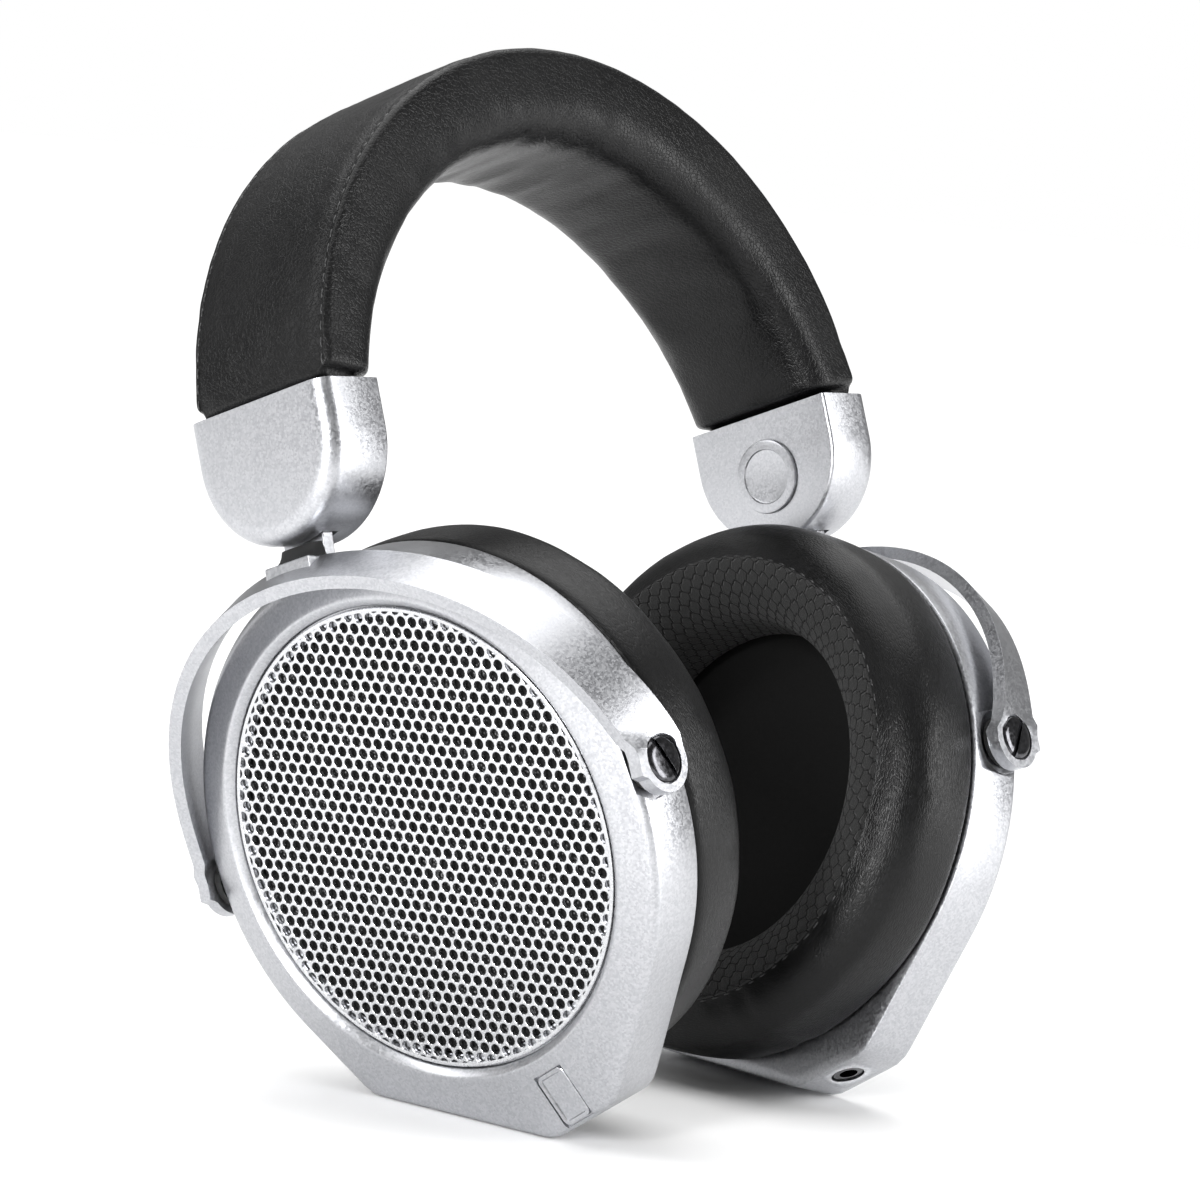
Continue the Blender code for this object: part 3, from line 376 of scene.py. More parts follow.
def stretch_leather():
    """Soft black pad leather, its grain pulled into dashes round the pad, 1.3 by 0.4 mm."""
    material, tree, shader = new_material("stretched_pad_leather", "#0a0a0b", 0.38, ior=1.4)
    shader.inputs["Specular IOR Level"].default_value = 0.34
    skin = place_in_mm(tree, uv=True)
    long = add(tree, "ShaderNodeMapping", {"Vector": skin, "Scale": (0.75, 2.6, 1.0)}).outputs[0]
    dash = add(tree, "ShaderNodeTexVoronoi", {"Vector": long, "Scale": 1.0}, feature='DISTANCE_TO_EDGE')
    crease = spread(tree, dash.outputs[0], 0.0, 0.2, 0.0, 1.0)
    fine = add(tree, "ShaderNodeTexNoise", {"Vector": skin, "Scale": 4.0, "Detail": 3.0})
    # painted shade: the base colour is darker in the creases between the grain's dashes
    tree.links.new(tint(tree, crease, "#030303", "#09090a"), shader.inputs["Base Color"])
    tree.links.new(spread(tree, fine.outputs[0], 0.3, 0.7, 0.31, 0.43), shader.inputs["Roughness"])
    both = add(tree, "ShaderNodeMath", {0: fine.outputs[0], 1: 0.3, 2: crease}, operation='MULTIPLY_ADD')
    raise_by(tree, shader, both.outputs[0], 0.28, 0.1)
    return material


def scale_knit():
    """Matte black spacer knit with overlapping scale-shaped cells 3.2 mm wide, slightly fuzzy, with painted
    shade in the gaps between the cells.
    """
    material, tree, shader = new_material("scale_knit_fabric", "#070707", 0.92, ior=1.3)
    shader.inputs["Sheen Weight"].default_value = 0.06
    shader.inputs["Sheen Roughness"].default_value = 0.5
    skin = place_in_mm(tree, uv=True)
    split = add(tree, "ShaderNodeSeparateXYZ", {0: skin}).outputs
    row = add(tree, "ShaderNodeMath", {0: split[1], 1: math.pi / KNIT_ROW}, operation='MULTIPLY').outputs[0]
    phase = add(tree, "ShaderNodeMath", {0: split[0], 1: 2 * math.pi / KNIT_WIDE, 2: row},
                operation='MULTIPLY_ADD').outputs[0]
    wave = add(tree, "ShaderNodeMath", {0: phase}, operation='COSINE').outputs[0]
    bent = add(tree, "ShaderNodeMath", {0: wave, 1: 0.42, 2: split[1]}, operation='MULTIPLY_ADD').outputs[0]
    place = add(tree, "ShaderNodeCombineXYZ", {0: split[0], 1: bent}).outputs[0]
    cells = {"Vector": place, "Scale": 1.0, "Mortar Size": 0.32, "Mortar Smooth": 1.0,
             "Brick Width": KNIT_WIDE, "Row Height": KNIT_ROW}
    gaps = add(tree, "ShaderNodeTexBrick", cells, offset=0.5, offset_frequency=2).outputs["Fac"]
    thread = add(tree, "ShaderNodeTexNoise", {"Vector": skin, "Scale": 3.5, "Detail": 3.0})
    lip = spread(tree, gaps, 0.0, 1.0, 1.0, 0.0)
    # painted shade: the recessed gaps between the cells are coloured near black
    tree.links.new(tint(tree, lip, "#010101", "#262626"), shader.inputs["Base Color"])
    rough = add(tree, "ShaderNodeMath", {0: thread.outputs[0], 1: 0.45, 2: lip}, operation='MULTIPLY_ADD')
    raise_by(tree, shader, rough.outputs[0], 1.0, 0.5)
    return material


def acoustic_cloth():
    """Open black cloth stretched over magnet bars; over the bars, light grey specks in diagonal stripes are
    painted glints, and the cloth is glossier there.
    """
    material, tree, shader = new_material("acoustic_cloth", "#050505", 0.8)
    place = place_in_mm(tree)
    weave = add(tree, "ShaderNodeTexVoronoi", {"Vector": place, "Scale": 1.6, "Randomness": 1.0})
    across = LEANED @ Vector((0, math.cos(math.radians(BAR_TURN)), math.sin(math.radians(BAR_TURN))))
    level = add(tree, "ShaderNodeVectorMath", {0: place, 1: across}, operation='DOT_PRODUCT').outputs["Value"]
    turns = {0: level, 1: 2 * math.pi / BAR_PITCH}
    turn = add(tree, "ShaderNodeMath", turns, operation='MULTIPLY').outputs[0]
    wave = add(tree, "ShaderNodeMath", {0: turn}, operation='SINE').outputs[0]
    spot = spread(tree, weave.outputs[0], 0.1, 0.4, 1.0, 0.0)
    bar = spread(tree, wave, 0.1, 0.7, 0.04, 1.0)
    painted_glint = add(tree, "ShaderNodeMath", {0: spot, 1: bar}, operation='MULTIPLY').outputs[0]
    # painted glint: the base colour turns light grey in the specks over the magnet bars
    tree.links.new(tint(tree, painted_glint, "#030303", "#9a9a9c"), shader.inputs["Base Color"])
    tree.links.new(spread(tree, painted_glint, 0, 1, 0.85, 0.3), shader.inputs["Roughness"])
    raise_by(tree, shader, weave.outputs[0], 0.5, 0.2)
    return material


def speckled(name, dark, light, roughness, metallic, scale, bump, ior=1.5):
    """A plain finish with fine grain: moulded plastic, rubber, thread, plated or lacquered steel."""
    material, tree, shader = new_material(name, light, roughness, metallic, ior)
    place = place_in_mm(tree)
    grain = add(tree, "ShaderNodeTexNoise", {"Vector": place, "Scale": scale, "Detail": 4.0}).outputs[0]
    tree.links.new(tint(tree, grain, dark, light, 0.3, 0.7), shader.inputs["Base Color"])
    low, high = max(roughness - 0.05, 0.02), roughness + 0.06
    tree.links.new(spread(tree, grain, 0.3, 0.7, low, high), shader.inputs["Roughness"])
    raise_by(tree, shader, grain, bump, 0.05)
    return material


def make_materials():
    return {
        "silver": satin_lacquer(),
        "grille": satin_lacquer("silver_grille_lacquer", "#d2d3d5", "#c2c3c6", 0.3),
        "leather": pressed_leather(),
        "pad": stretch_leather(),
        "knit": scale_knit(),
        "cloth": acoustic_cloth(),
        # polished black nickel: mirror-like but dark
        "screw": speckled("black_nickel", "#3a3a3c", "#5a5a5d", 0.16, 1.0, 1.5, 0.03),
        # bright nickel plating on small turned and rolled parts
        "steel": speckled("nickel_plated_steel", "#8e8e90", "#a9a9ab", 0.24, 1.0, 1.5, 0.04),
        # glass-filled nylon, spark-eroded mould texture
        "nylon": speckled("moulded_nylon", "#0b0b0b", "#151515", 0.5, 0.0, 3.0, 0.2),
        # thermoplastic rubber, matte
        "rubber": speckled("black_rubber", "#0a0a0a", "#141414", 0.62, 0.0, 4.0, 0.25),
        # bonded polyester sewing thread with a slight gloss
        "thread": speckled("sewing_thread", "#161616", "#2e2e2f", 0.36, 0.0, 6.0, 0.3),
        # black lacquered magnet steel
        "magnet": speckled("lacquered_magnet_steel", "#101011", "#1c1c1e", 0.4, 0.6, 1.0, 0.1),
        # polyester film with an evaporated aluminium trace
        "film": speckled("aluminised_film", "#a39c88", "#bdb59e", 0.2, 0.8, 0.8, 0.05),
        # thin woven dust cover, dull black
        "lining": speckled("woven_lining", "#030303", "#0a0a0a", 0.9, 0.0, 2.0, 0.4, 1.35),
        # open-cell polyurethane foam, charcoal
        "foam": speckled("charcoal_foam", "#1c1c1c", "#3a3a3a", 0.95, 0.0, 1.4, 0.8),
    }


# ---------------------------------------------------------------- headband

def band_size(phi):
    """Half width, outer and inner radius of the leather, a little smaller inside the caps."""
    level = math.sin(phi)
    tucked = (CAP_HALF - 1.8, CAP_OUTER - 2.4, CAP_INNER + 2.5)
    full = (BAND_HALF[0] + (BAND_HALF[1] - BAND_HALF[0]) * level,
            math.hypot(ARCH_OUT * math.cos(phi), ARCH_RISE * level) - 0.1,
            BAND_INNER[0] + (BAND_INNER[1] - BAND_INNER[0]) * level ** 0.9 + 0.1)
    sizes = []
    for small, big, radius in zip(tucked, full, (BAND_INNER[0], ARCH_OUT, BAND_INNER[0])):
        rim = math.asin((CAP_TOP + 0.2 - ARCH_HEIGHT) / radius)
        share = (min(phi, math.pi - phi) - rim) / math.radians(1.1)
        share = min(max(share, 0.0), 1.0)
        sizes.append(small + (big - small) * share * share * (3 - 2 * share))
    return sizes


def seam_radius(phi):
    return band_size(phi)[1] - 0.75


def band_outline(phi):
    """(y, radius) round the band's section, starting at the front seam."""
    half, outer, inner = band_size(phi)
    seam = half - SEAM_INSET
    roll = min(0.42 * (outer - inner), 8.0)
    points = []
    for i in range(PANEL_COLUMNS + 1):
        y = -seam + 2 * seam * i / PANEL_COLUMNS
        points.append((y, outer - 0.35 + 0.3 * (1 - (y / seam) ** 4)))
    for side in (1, -1):
        corner = []
        shoulder = 1.9
        for degrees in (66, 42, 20, 0):
            angle = math.radians(degrees)
            corner.append((half - shoulder + shoulder * math.cos(angle),
                           outer - 0.35 - shoulder + shoulder * math.sin(angle)))
        for degrees in (0, -15, -30, -45, -60, -75, -90):
            angle = math.radians(degrees)
            corner.append((half - roll + roll * math.cos(angle), inner + roll + roll * math.sin(angle)))
        middle = [(half * share, inner - 0.1 * (1 - share * share / 0.3)) for share in (0.3, 0.1)]
        points += corner + middle if side > 0 else [(-y, r) for y, r in middle[::-1] + corner[::-1]]
    return points


def arch_point(phi, y, radius):
    return Vector((radius * math.cos(phi), y, ARCH_HEIGHT + radius * math.sin(phi)))


def arch_angles(count, start):
    first = math.radians(start)
    return [first + (math.pi - 2 * first) * i / (count - 1) for i in range(count)]


def band_leather(materials):
    """Leather sewn round the foam: a flat outer panel and a softer inner panel, wrinkled at the crown."""
    ends = [math.radians(d) for d in (BAND_START, 4, 5.4, 6.0, 6.4, 6.8, 7.2, 7.6, 8.0, 8.5)]
    angles = ends + arch_angles(135, 9.4) + [math.pi - phi for phi in ends[::-1]]
    loops = [[arch_point(phi, y, r) for y, r in band_outline(phi)] for phi in angles]
    count = len(loops[0])
    seams = (0, PANEL_COLUMNS)
    made = piece("band_leather", grid(bmesh.new(), loops, caps=True), band_matrix(1),
                 materials["leather"], "headband", ("headband_cover", "headband_foam"), angle=0)
    lookup = {}
    for row, phi in enumerate(angles):
        for column in range(count):
            lookup[row * count + column] = (phi, column)
    held = {}
    for index, (phi, column) in lookup.items():
        row = index // count
        if min(row, len(angles) - 1 - row) < len(ends) or column in seams:
            held[index] = 1.0
        elif column < seams[1]:
            held[index] = 0.35
    swell(made, held, 0.7, 0.004, 0.5)
    groove(made, lookup, seams, count)
    bend = made.modifiers.new("smooth", 'SUBSURF')
    bend.levels = bend.render_levels = 1
    settle(made)
    return angles


def groove(made, lookup, seams, count):
    """Draws the seam lines in, with small puckers beside them and creases over the inner roll."""
    mesh = made.data
    turn = STANCE.to_3x3()
    for index, (phi, column) in lookup.items():
        vertex = mesh.vertices[index]
        out = (turn @ Vector((math.cos(phi), 0, math.sin(phi)))).normalized()
        along = ARCH_RISE * phi
        normal = vertex.normal
        away = min(min(abs(column - seam), count - abs(column - seam)) for seam in seams)
        if away == 0:
            vertex.co -= out * 0.45 * MM
            continue
        if away <= 2:
            ripple = noise.noise(Vector((along * 0.33, column * 0.6, 0))) * 0.28 / away
            vertex.co += normal * ripple * MM
        if seams[1] + 5 < column < count - 5:
            crown = math.sin(phi) ** 3
            place = Vector((along * 0.16, column * 0.22, 3.1))
            crease = noise.noise(place) + 0.5 * noise.noise(place * 2.3)
            vertex.co += normal * crease * 0.42 * crown * MM


def band_stitches(materials):
    """Thread along both seams: stitches 2.2 mm long, 3 mm apart."""
    bm = bmesh.new()
    pitch = STITCH_PITCH / ARCH_RISE
    first, last = math.radians(7.5), math.radians(172.5)
    steps = int((last - first) / pitch)
    for way in (-1, 1):
        for i in range(steps):
            phi = first + (i + 0.5) * (last - first) / steps
            half = band_size(phi)[0] - SEAM_INSET
            loops = []
            for share, radius, lift in ((-1, 0.05, -0.4), (-0.75, 0.15, -0.08), (0, 0.2, 0.0),
                                        (0.75, 0.15, -0.08), (1, 0.05, -0.4)):
                angle = phi + share * 1.1 / ARCH_RISE
                centre = arch_point(angle, way * half, seam_radius(phi) + 0.2 + lift)
                out = Vector((math.cos(angle), 0, math.sin(angle)))
                loops.append([centre + out * radius * math.sin(a) + Vector((0, radius * math.cos(a), 0))
                              for a in [math.pi * k / 3 for k in range(6)]])
            grid(bm, loops, caps=True)
    made = piece("band_stitches", bm, band_matrix(1), materials["thread"], "headband", angle=0)


# ---------------------------------------------------------------- end caps

def cap_outline(u, inset, top, segments=44):
    half = CAP_HALF - inset
    centre = CAP_BOTTOM + CAP_HALF
    points = [(u, -half, top)]
    points += [(u, -half + 2 * half * i / 6, top) for i in range(1, 6)]
    points.append((u, half, top))
    for i in range(segments + 1):
        angle = math.pi * i / segments
        points.append((u, half * math.cos(angle), centre - half * math.sin(angle)))
    return points


def end_cap(name, side, materials):
    """Cast cap: flat faces, a soft roll from the outer face to the side and a thin bevelled rim."""
    steps = [(CAP_INNER, 0.7), (CAP_INNER + 0.1, 0.35), (CAP_INNER + 0.35, 0.1), (CAP_INNER + 0.7, 0.0),
             (CAP_OUTER - 3.8, 0.0)]
    for degrees in range(10, 91, 10):
        angle = math.radians(degrees)
        steps.append((CAP_OUTER - 3.5 * (1 - math.sin(angle)), 3.5 * (1 - math.cos(angle)) + 0.001 * degrees))
    loops = [cap_outline(u, inset, CAP_TOP) for u, inset in steps]
    made = piece("cap_" + name, grid(bmesh.new(), loops, caps=True), band_matrix(side), materials["silver"],
                 "headband", ("end_cap_" + name,))
    hollow = grid(bmesh.new(), [cap_outline(u, 1.2, CAP_TOP + 5) for u in (CAP_INNER + 1.6, CAP_OUTER - 1.8)],
                  caps=True)
    cut(made, hollow, band_matrix(side))
    slot = box(bmesh.new(), (-2.0, -5.6, -8), (2.0, 5.6, 3), stem_frame())
    cut(made, slot, band_matrix(side))
    soften(made, 0.32)


def side_mark(name, side, materials):
    """Round inlay with a raised ring, left blank."""
    rings = [(-0.55, 0.2), (-0.55, 5.0), (-0.62, 5.3), (-0.85, 5.5), (-0.85, 6.9), (-0.75, 7.25), (-0.4, 7.4),
             (-0.3, 7.4), (-0.3, 0.2)]
    place = Matrix.Translation((CAP_INNER, 0, MARK_HEIGHT))
    made = piece("mark_" + name, tube(bmesh.new(), rings, place), band_matrix(side), materials["silver"],
                 "headband", ("side_mark_" + name,))


# ---------------------------------------------------------------- yoke

def strap_station(y, rise, out_y, out_z):
    """The strap's section: y and rise place its outer face, out_y and out_z point outwards."""
    dish = math.radians(YOKE_DISH) * math.sqrt(out_z)
    middle = YOKE_OUT * max(rise / YOKE_RISE, 0) ** 1.08
    half = ARM_END + (YOKE_TOP_HALF - ARM_END) * out_z
    turn = ARM_HALF * math.sin(math.radians(YOKE_CANT))
    round_end = math.sqrt(max(ARM_HALF ** 2 - rise ** 2, 0))
    inner = -round_end if rise < turn else middle - half * math.cos(dish)
    outer = round_end if rise < -turn else middle + half * math.cos(dish)
    loop = []
    for share, deep in ((0, 1), (0, 0), (0.33, 0), (0.66, 0), (1, 0), (1, 1), (0.66, 1), (0.33, 1)):
        across = inner + (outer - inner) * share
        slide = -(across - middle) * math.tan(dish) if rise >= turn else 0.0
        u = PIVOT_OUT + across - deep * YOKE_THICK * math.sin(dish)
        out = slide - deep * YOKE_THICK * math.cos(dish)
        loop.append((u, y + out * out_y, PIVOT_HEIGHT + rise + out * out_z))
    return loop


def yoke_loops(count=72):
    arms = [(YOKE_SIDE, -ARM_HALF * math.cos(math.radians(d)), 1, 0) for d in range(6, 90, 7)]
    arch = []
    for i in range(count + 1):
        angle = math.pi * i / count
        normal = Vector((math.cos(angle) / YOKE_SIDE, math.sin(angle) / YOKE_RISE)).normalized()
        arch.append((YOKE_SIDE * math.cos(angle), YOKE_RISE * math.sin(angle), normal.x, max(normal.y, 0)))
    stations = arms + arch + [(-y, rise, -1, 0) for y, rise, out_y, out_z in arms[::-1]]
    return [strap_station(*station) for station in stations]


def yoke(name, side, materials):
    """Flat cast strap bent over the cup, with round eyes for the pivots."""
    body = "yoke_" + name
    made = piece("strap_" + name, grid(bmesh.new(), yoke_loops(), caps=True), band_matrix(side),
                 materials["silver"], body, ("yoke_" + name,))
    holes = bmesh.new()
    for way in (-1, 1):
        turn = Matrix.Translation((PIVOT_OUT, 0, PIVOT_HEIGHT)) @ Matrix.Rotation(way * math.pi / 2, 4, 'Z')
        rings = [(YOKE_SIDE - 4, 3.2), (YOKE_SIDE - 1.4, 3.2), (YOKE_SIDE - 1.4, 4.4), (YOKE_SIDE + 1, 4.4)]
        tube(holes, rings, turn, 40)
    cut(made, holes, band_matrix(side))
    soften(made, 0.3)
    stem = box(bmesh.new(), (-1.3, -5.0, -6.2), (1.3, 5.0, 40.8), stem_frame())
    stem = piece("stem_" + name, stem, band_matrix(side), materials["silver"], body)
    soften(stem, 0.3)
    lug = box(bmesh.new(), (0.3, -5.6, -6.6), (6.16, 5.6, -4.2), stem_frame())
    lug = piece("stem_lug_" + name, lug, band_matrix(side), materials["silver"], body)
    soften(lug, 0.3)
    buffer(name, side, body, materials)


def buffer(name, side, body, materials):
    """Rubber facing on the stem's outer side, flared down onto the strap."""
    loops = []
    levels = ((-4.15, 5.7, 3.4), (-3.8, 5.6, 3.0), (-3.0, 5.3, 2.2), (-2.2, 5.0, 1.8), (-1.2, 4.8, 1.6))
    for level, half, deep in levels:
        loop = []
        for i in range(17):
            y = -half + 2 * half * i / 16
            bulge = deep * (1 - abs(y / half) ** 5) ** 0.5
            loop.append(stem_frame() @ Vector((1.6 + max(bulge, 0.05), y, level)))
        for y in (half, 0, -half):
            loop.append(stem_frame() @ Vector((1.55, y, level)))
        loops.append(loop)
    made = piece("stem_facing_" + name, grid(bmesh.new(), loops, caps=True), band_matrix(side),
                 materials["rubber"], body, ("slider_buffer_" + name,), angle=50)


def pivots(name, side, materials):
    """Slotted shoulder screws in the arms' eyes, on plastic bushes."""
    for way, where in ((-1, "front"), (1, "rear")):
        turn = Matrix.Rotation(way * math.pi / 2, 4, 'Z')
        rings = [(47.0, 1.5), (YOKE_SIDE - 0.9, 1.5), (YOKE_SIDE - 0.9, 4.1), (YOKE_SIDE - 0.25, 4.1),
                 (YOKE_SIDE - 0.05, 3.95), (YOKE_SIDE + 0.15, 3.6), (YOKE_SIDE + 0.3, 2.6),
                 (YOKE_SIDE + 0.35, 0.4)]
        made = piece("screw_%s_%s" % (where, name), tube(bmesh.new(), rings, turn, 56), cup_matrix(side),
                     materials["screw"], "cup_" + name, ("pivot_screw_%s_%s" % (where, name),))
        slot = box(bmesh.new(), (-0.5, way * (YOKE_SIDE - 0.45), -6), (0.5, way * (YOKE_SIDE + 1), 6),
                   Matrix.Rotation(math.radians(20), 4, 'Y'))
        cut(made, slot, cup_matrix(side))
        soften(made, 0.08, 1)


# ---------------------------------------------------------------- ear cup

def foot_normal():
    return -math.atan(math.tan(math.radians(LEAN)) / math.cos(math.radians(TUCK)))


def chin_outline():
    """Radius of the cup's outline at each angle from its lowest point, corners slightly rounded."""
    foot, chin = foot_normal(), math.radians(CHIN_ANGLE)
    over = FOOT_DEPTH * math.cos(chin) - CHIN_REACH * math.cos(foot)
    under = CHIN_REACH * math.sin(foot) - FOOT_DEPTH * math.sin(chin)
    rear = math.atan(over / under)
    front = 2 * chin - rear
    heel = foot - math.atan(HEEL / FOOT_DEPTH)
    heel_tangent = heel - math.acos(CUP_RADIUS / (FOOT_DEPTH / math.cos(heel - foot)))
    front_tangent = front + math.acos(CUP_RADIUS / (CHIN_REACH / math.cos(rear - chin)))
    lines = ((CUP_RADIUS, heel_tangent), (FOOT_DEPTH, foot), (CHIN_REACH, chin), (CUP_RADIUS, front_tangent))

    def reach(angle):
        if angle <= heel_tangent or angle >= front_tangent:
            return CUP_RADIUS
        return min(d / math.cos(angle - n) for d, n in lines if math.cos(angle - n) > 0.2)

    count = 720
    raw = [reach(-math.pi + 2 * math.pi * i / count) for i in range(count)]
    smooth = []
    for i in range(count):
        window = [raw[(i + k) % count] for k in range(-4, 5)]
        smooth.append(sum(window) / len(window))
    return smooth


def cup_point(u, radius, angle):
    return (u, -radius * math.sin(angle), -PIVOT_HEIGHT - radius * math.cos(angle))


def badge_matrix(u):
    chin = math.radians(CHIN_ANGLE)
    rise = math.atan((RIM_U - CREST) / (CHIN_REACH - 1.2 - RIM_RADIUS))
    return (Matrix.Translation(cup_point(u, BADGE_RADIUS, chin)) @ Matrix.Rotation(-chin, 4, 'X')
            @ Matrix.Rotation(rise, 4, 'Y'))


def badge_level():
    share = (BADGE_RADIUS - RIM_RADIUS) / (CHIN_REACH - 1.2 - RIM_RADIUS)
    return RIM_U + (CREST - RIM_U) * share


def cup_shell(name, side, materials):
    """Cast cup: round side wall, rolled crest, shallow face, and a chamfer down to the grille."""
    outline = chin_outline()[::4]
    count = len(outline)
    steps = [("wall", PAD_PLANE, 2.6), ("wall", PAD_PLANE, 0.45), ("wall", PAD_PLANE + 0.15, 0.12),
             ("wall", PAD_PLANE + 0.5, 0.0), ("wall", -2.0, 0.0), ("wall", CREST - 1.75, 0.0),
             ("wall", CREST - 1.15, 0.1), ("wall", CREST - 0.6, 0.42), ("wall", CREST - 0.2, 0.9),
             ("wall", CREST + 0.03, CREST_INSET)]
    for share in (0.25, 0.5, 0.75, 0.92):
        steps.append(("mix", CREST + (RIM_U - CREST) * share, share))
    steps += [("ring", RIM_U - 0.03, RIM_RADIUS + 0.3), ("ring", RIM_U, RIM_RADIUS),
              ("ring", RIM_U - 0.1, RIM_RADIUS - 0.3), ("ring", GRILLE_U + 0.15, GRILLE_RADIUS + 0.55),
              ("ring", GRILLE_U - 0.1, GRILLE_RADIUS + 0.35), ("ring", SHELF[2], GRILLE_RADIUS + 0.3),
              ("ring", SHELF[2], SHELF[0]), ("ring", SHELF[1], SHELF[0]), ("ring", SHELF[1], WALL_BORE),
              ("ring", PAD_PLANE, WALL_BORE)]
    loops = []
    for kind, u, value in steps:
        loop = []
        for i in range(count):
            angle = -math.pi + 2 * math.pi * i / count
            if kind == "wall":
                reach = outline[i] - value
            elif kind == "ring":
                reach = value
            else:
                reach = (outline[i] - CREST_INSET) * (1 - value) + (RIM_RADIUS + 0.3) * value
            loop.append(cup_point(u, reach, angle))
        loops.append(loop)
    made = piece("cup_shell_" + name, grid(bmesh.new(), loops, closed=True), cup_matrix(side),
                 materials["silver"], "cup_" + name, ("ear_housing_" + name,), angle=38)
    cuts = bmesh.new()
    for way in (-1, 1):
        turn = Matrix.Rotation(way * math.pi / 2, 4, 'Z')
        tube(cuts, [(CUP_RADIUS - 0.9, 6.2), (CUP_RADIUS + 4, 6.6)], turn, 56)
    box(cuts, (-0.9, -3.6, -5.3), (3, 3.6, 5.3), badge_matrix(badge_level()))
    if side > 0:
        chin = math.radians(CHIN_ANGLE)
        down = Matrix.Translation(cup_point(-2.5, 0, chin)) @ Matrix.Rotation(-chin, 4, 'X')
        down = down @ Matrix.Rotation(math.pi / 2, 4, 'Y')
        tube(cuts, [(CHIN_REACH - 14, 3.2), (CHIN_REACH + 3, 3.2)], down, 40)
    cut(made, cuts, cup_matrix(side))
    soften(made, 0.12, 1, 50)


def badge(name, side, materials):
    """Blank plate with a raised frame, set in the chin."""
    loops = []
    for u, grow in ((-0.85, 0), (-0.1, 0), (0.0, -0.12), (0.0, -0.75), (-0.25, -0.95), (-0.25, -2.2)):
        half_y, half_z, corner = 3.35 + grow, 5.05 + grow, max(1.3 + grow, 0.3)
        loop = []
        for cy, cz, start in ((1, 1, 0), (-1, 1, 90), (-1, -1, 180), (1, -1, 270)):
            for i in range(5):
                a = math.radians(start + 22.5 * i)
                loop.append(Vector((u, cy * (half_y - corner) + corner * math.cos(a),
                                    cz * (half_z - corner) + corner * math.sin(a))))
        loops.append([badge_matrix(badge_level()) @ p for p in loop])
    made = piece("badge_plate_" + name, grid(bmesh.new(), loops, caps=True), cup_matrix(side),
                 materials["silver"], "cup_" + name, ("badge_" + name,), angle=25)


def grille(name, side, materials):
    """Punched sheet: round holes in staggered rows, hole edges slightly rolled, under a plain rim."""
    bm = bmesh.new()
    turn = math.radians(LATTICE_TURN)
    rows = int(GRILLE_RADIUS / (HOLE_PITCH * 0.866)) + 2
    segments = 12
    reach = HOLE_PITCH / math.sqrt(3)
    sinks = ((0.0, None), (0.0, HOLE_SHARE + 0.035), (-0.06, HOLE_SHARE), (-0.8, HOLE_SHARE))
    edge = GRILLE_RADIUS - 0.5
    verts = {}

    def vert(u, y, z):
        key = (round(u, 3), round(y, 3), round(z, 3))
        if key not in verts:
            verts[key] = bm.verts.new((u, y, z - PIVOT_HEIGHT))
        return verts[key]

    for row in range(-rows, rows + 1):
        for column in range(-rows * 2, rows * 2 + 1):
            a, b = (column + 0.5 * (row % 2)) * HOLE_PITCH, row * HOLE_PITCH * 0.866
            y, z = a * math.cos(turn) - b * math.sin(turn), a * math.sin(turn) + b * math.cos(turn)
            if math.hypot(y, z) > edge + HOLE_PITCH:
                continue
            rings = []
            for level, size in sinks:
                ring = []
                for k in range(segments):
                    angle = 2 * math.pi * k / segments + turn + math.pi / 6
                    if size is None:
                        bite = (k % 2) * (1 - math.cos(math.pi / 6))
                        radius = reach * (1 - bite)
                    else:
                        radius = size * HOLE_PITCH
                    ring.append(vert(GRILLE_U + level, y + radius * math.cos(angle),
                                     z + radius * math.sin(angle)))
                rings.append(ring)
            for low, high in zip(rings, rings[1:]):
                for k in range(segments):
                    m = (k + 1) % segments
                    bm.faces.new((low[k], low[m], high[m], high[k]))
    clip_round(bm, edge)
    rim(bm, edge)
    made = piece("grille_sheet_" + name, bm, cup_matrix(side), materials["grille"], "cup_" + name,
                 ("grille_" + name,), angle=35, outward=False)


def clip_round(bm, edge, sides=90):
    """Trims the sheet to a round edge that runs through the outermost holes."""
    for i in range(sides):
        angle = 2 * math.pi * (i + 0.5) / sides
        out = Vector((0, math.cos(angle), math.sin(angle)))
        reach = Vector((0, 0, -PIVOT_HEIGHT)) + out * edge
        near = [f for f in bm.faces if (f.calc_center_median() - reach).dot(out) > -2.5]
        geom = dict.fromkeys(near)
        for face in near:
            geom.update(dict.fromkeys((*face.verts, *face.edges)))
        bmesh.ops.bisect_plane(bm, geom=list(geom), plane_co=reach, plane_no=out, clear_outer=True)


def rim(bm, edge):
    """Plain lip round the punched sheet."""
    loops = []
    for radius, level in ((edge - 0.25, -0.8), (edge - 0.25, 0.0), (edge - 0.05, 0.08), (edge + 0.35, 0.08),
                          (edge + 0.5, -0.05), (edge + 0.5, -0.9)):
        turn = [2 * math.pi * i / 120 for i in range(120)]
        loops.append([(GRILLE_U + level, radius * math.cos(a), radius * math.sin(a) - PIVOT_HEIGHT)
                      for a in turn])
    grid(bm, loops)


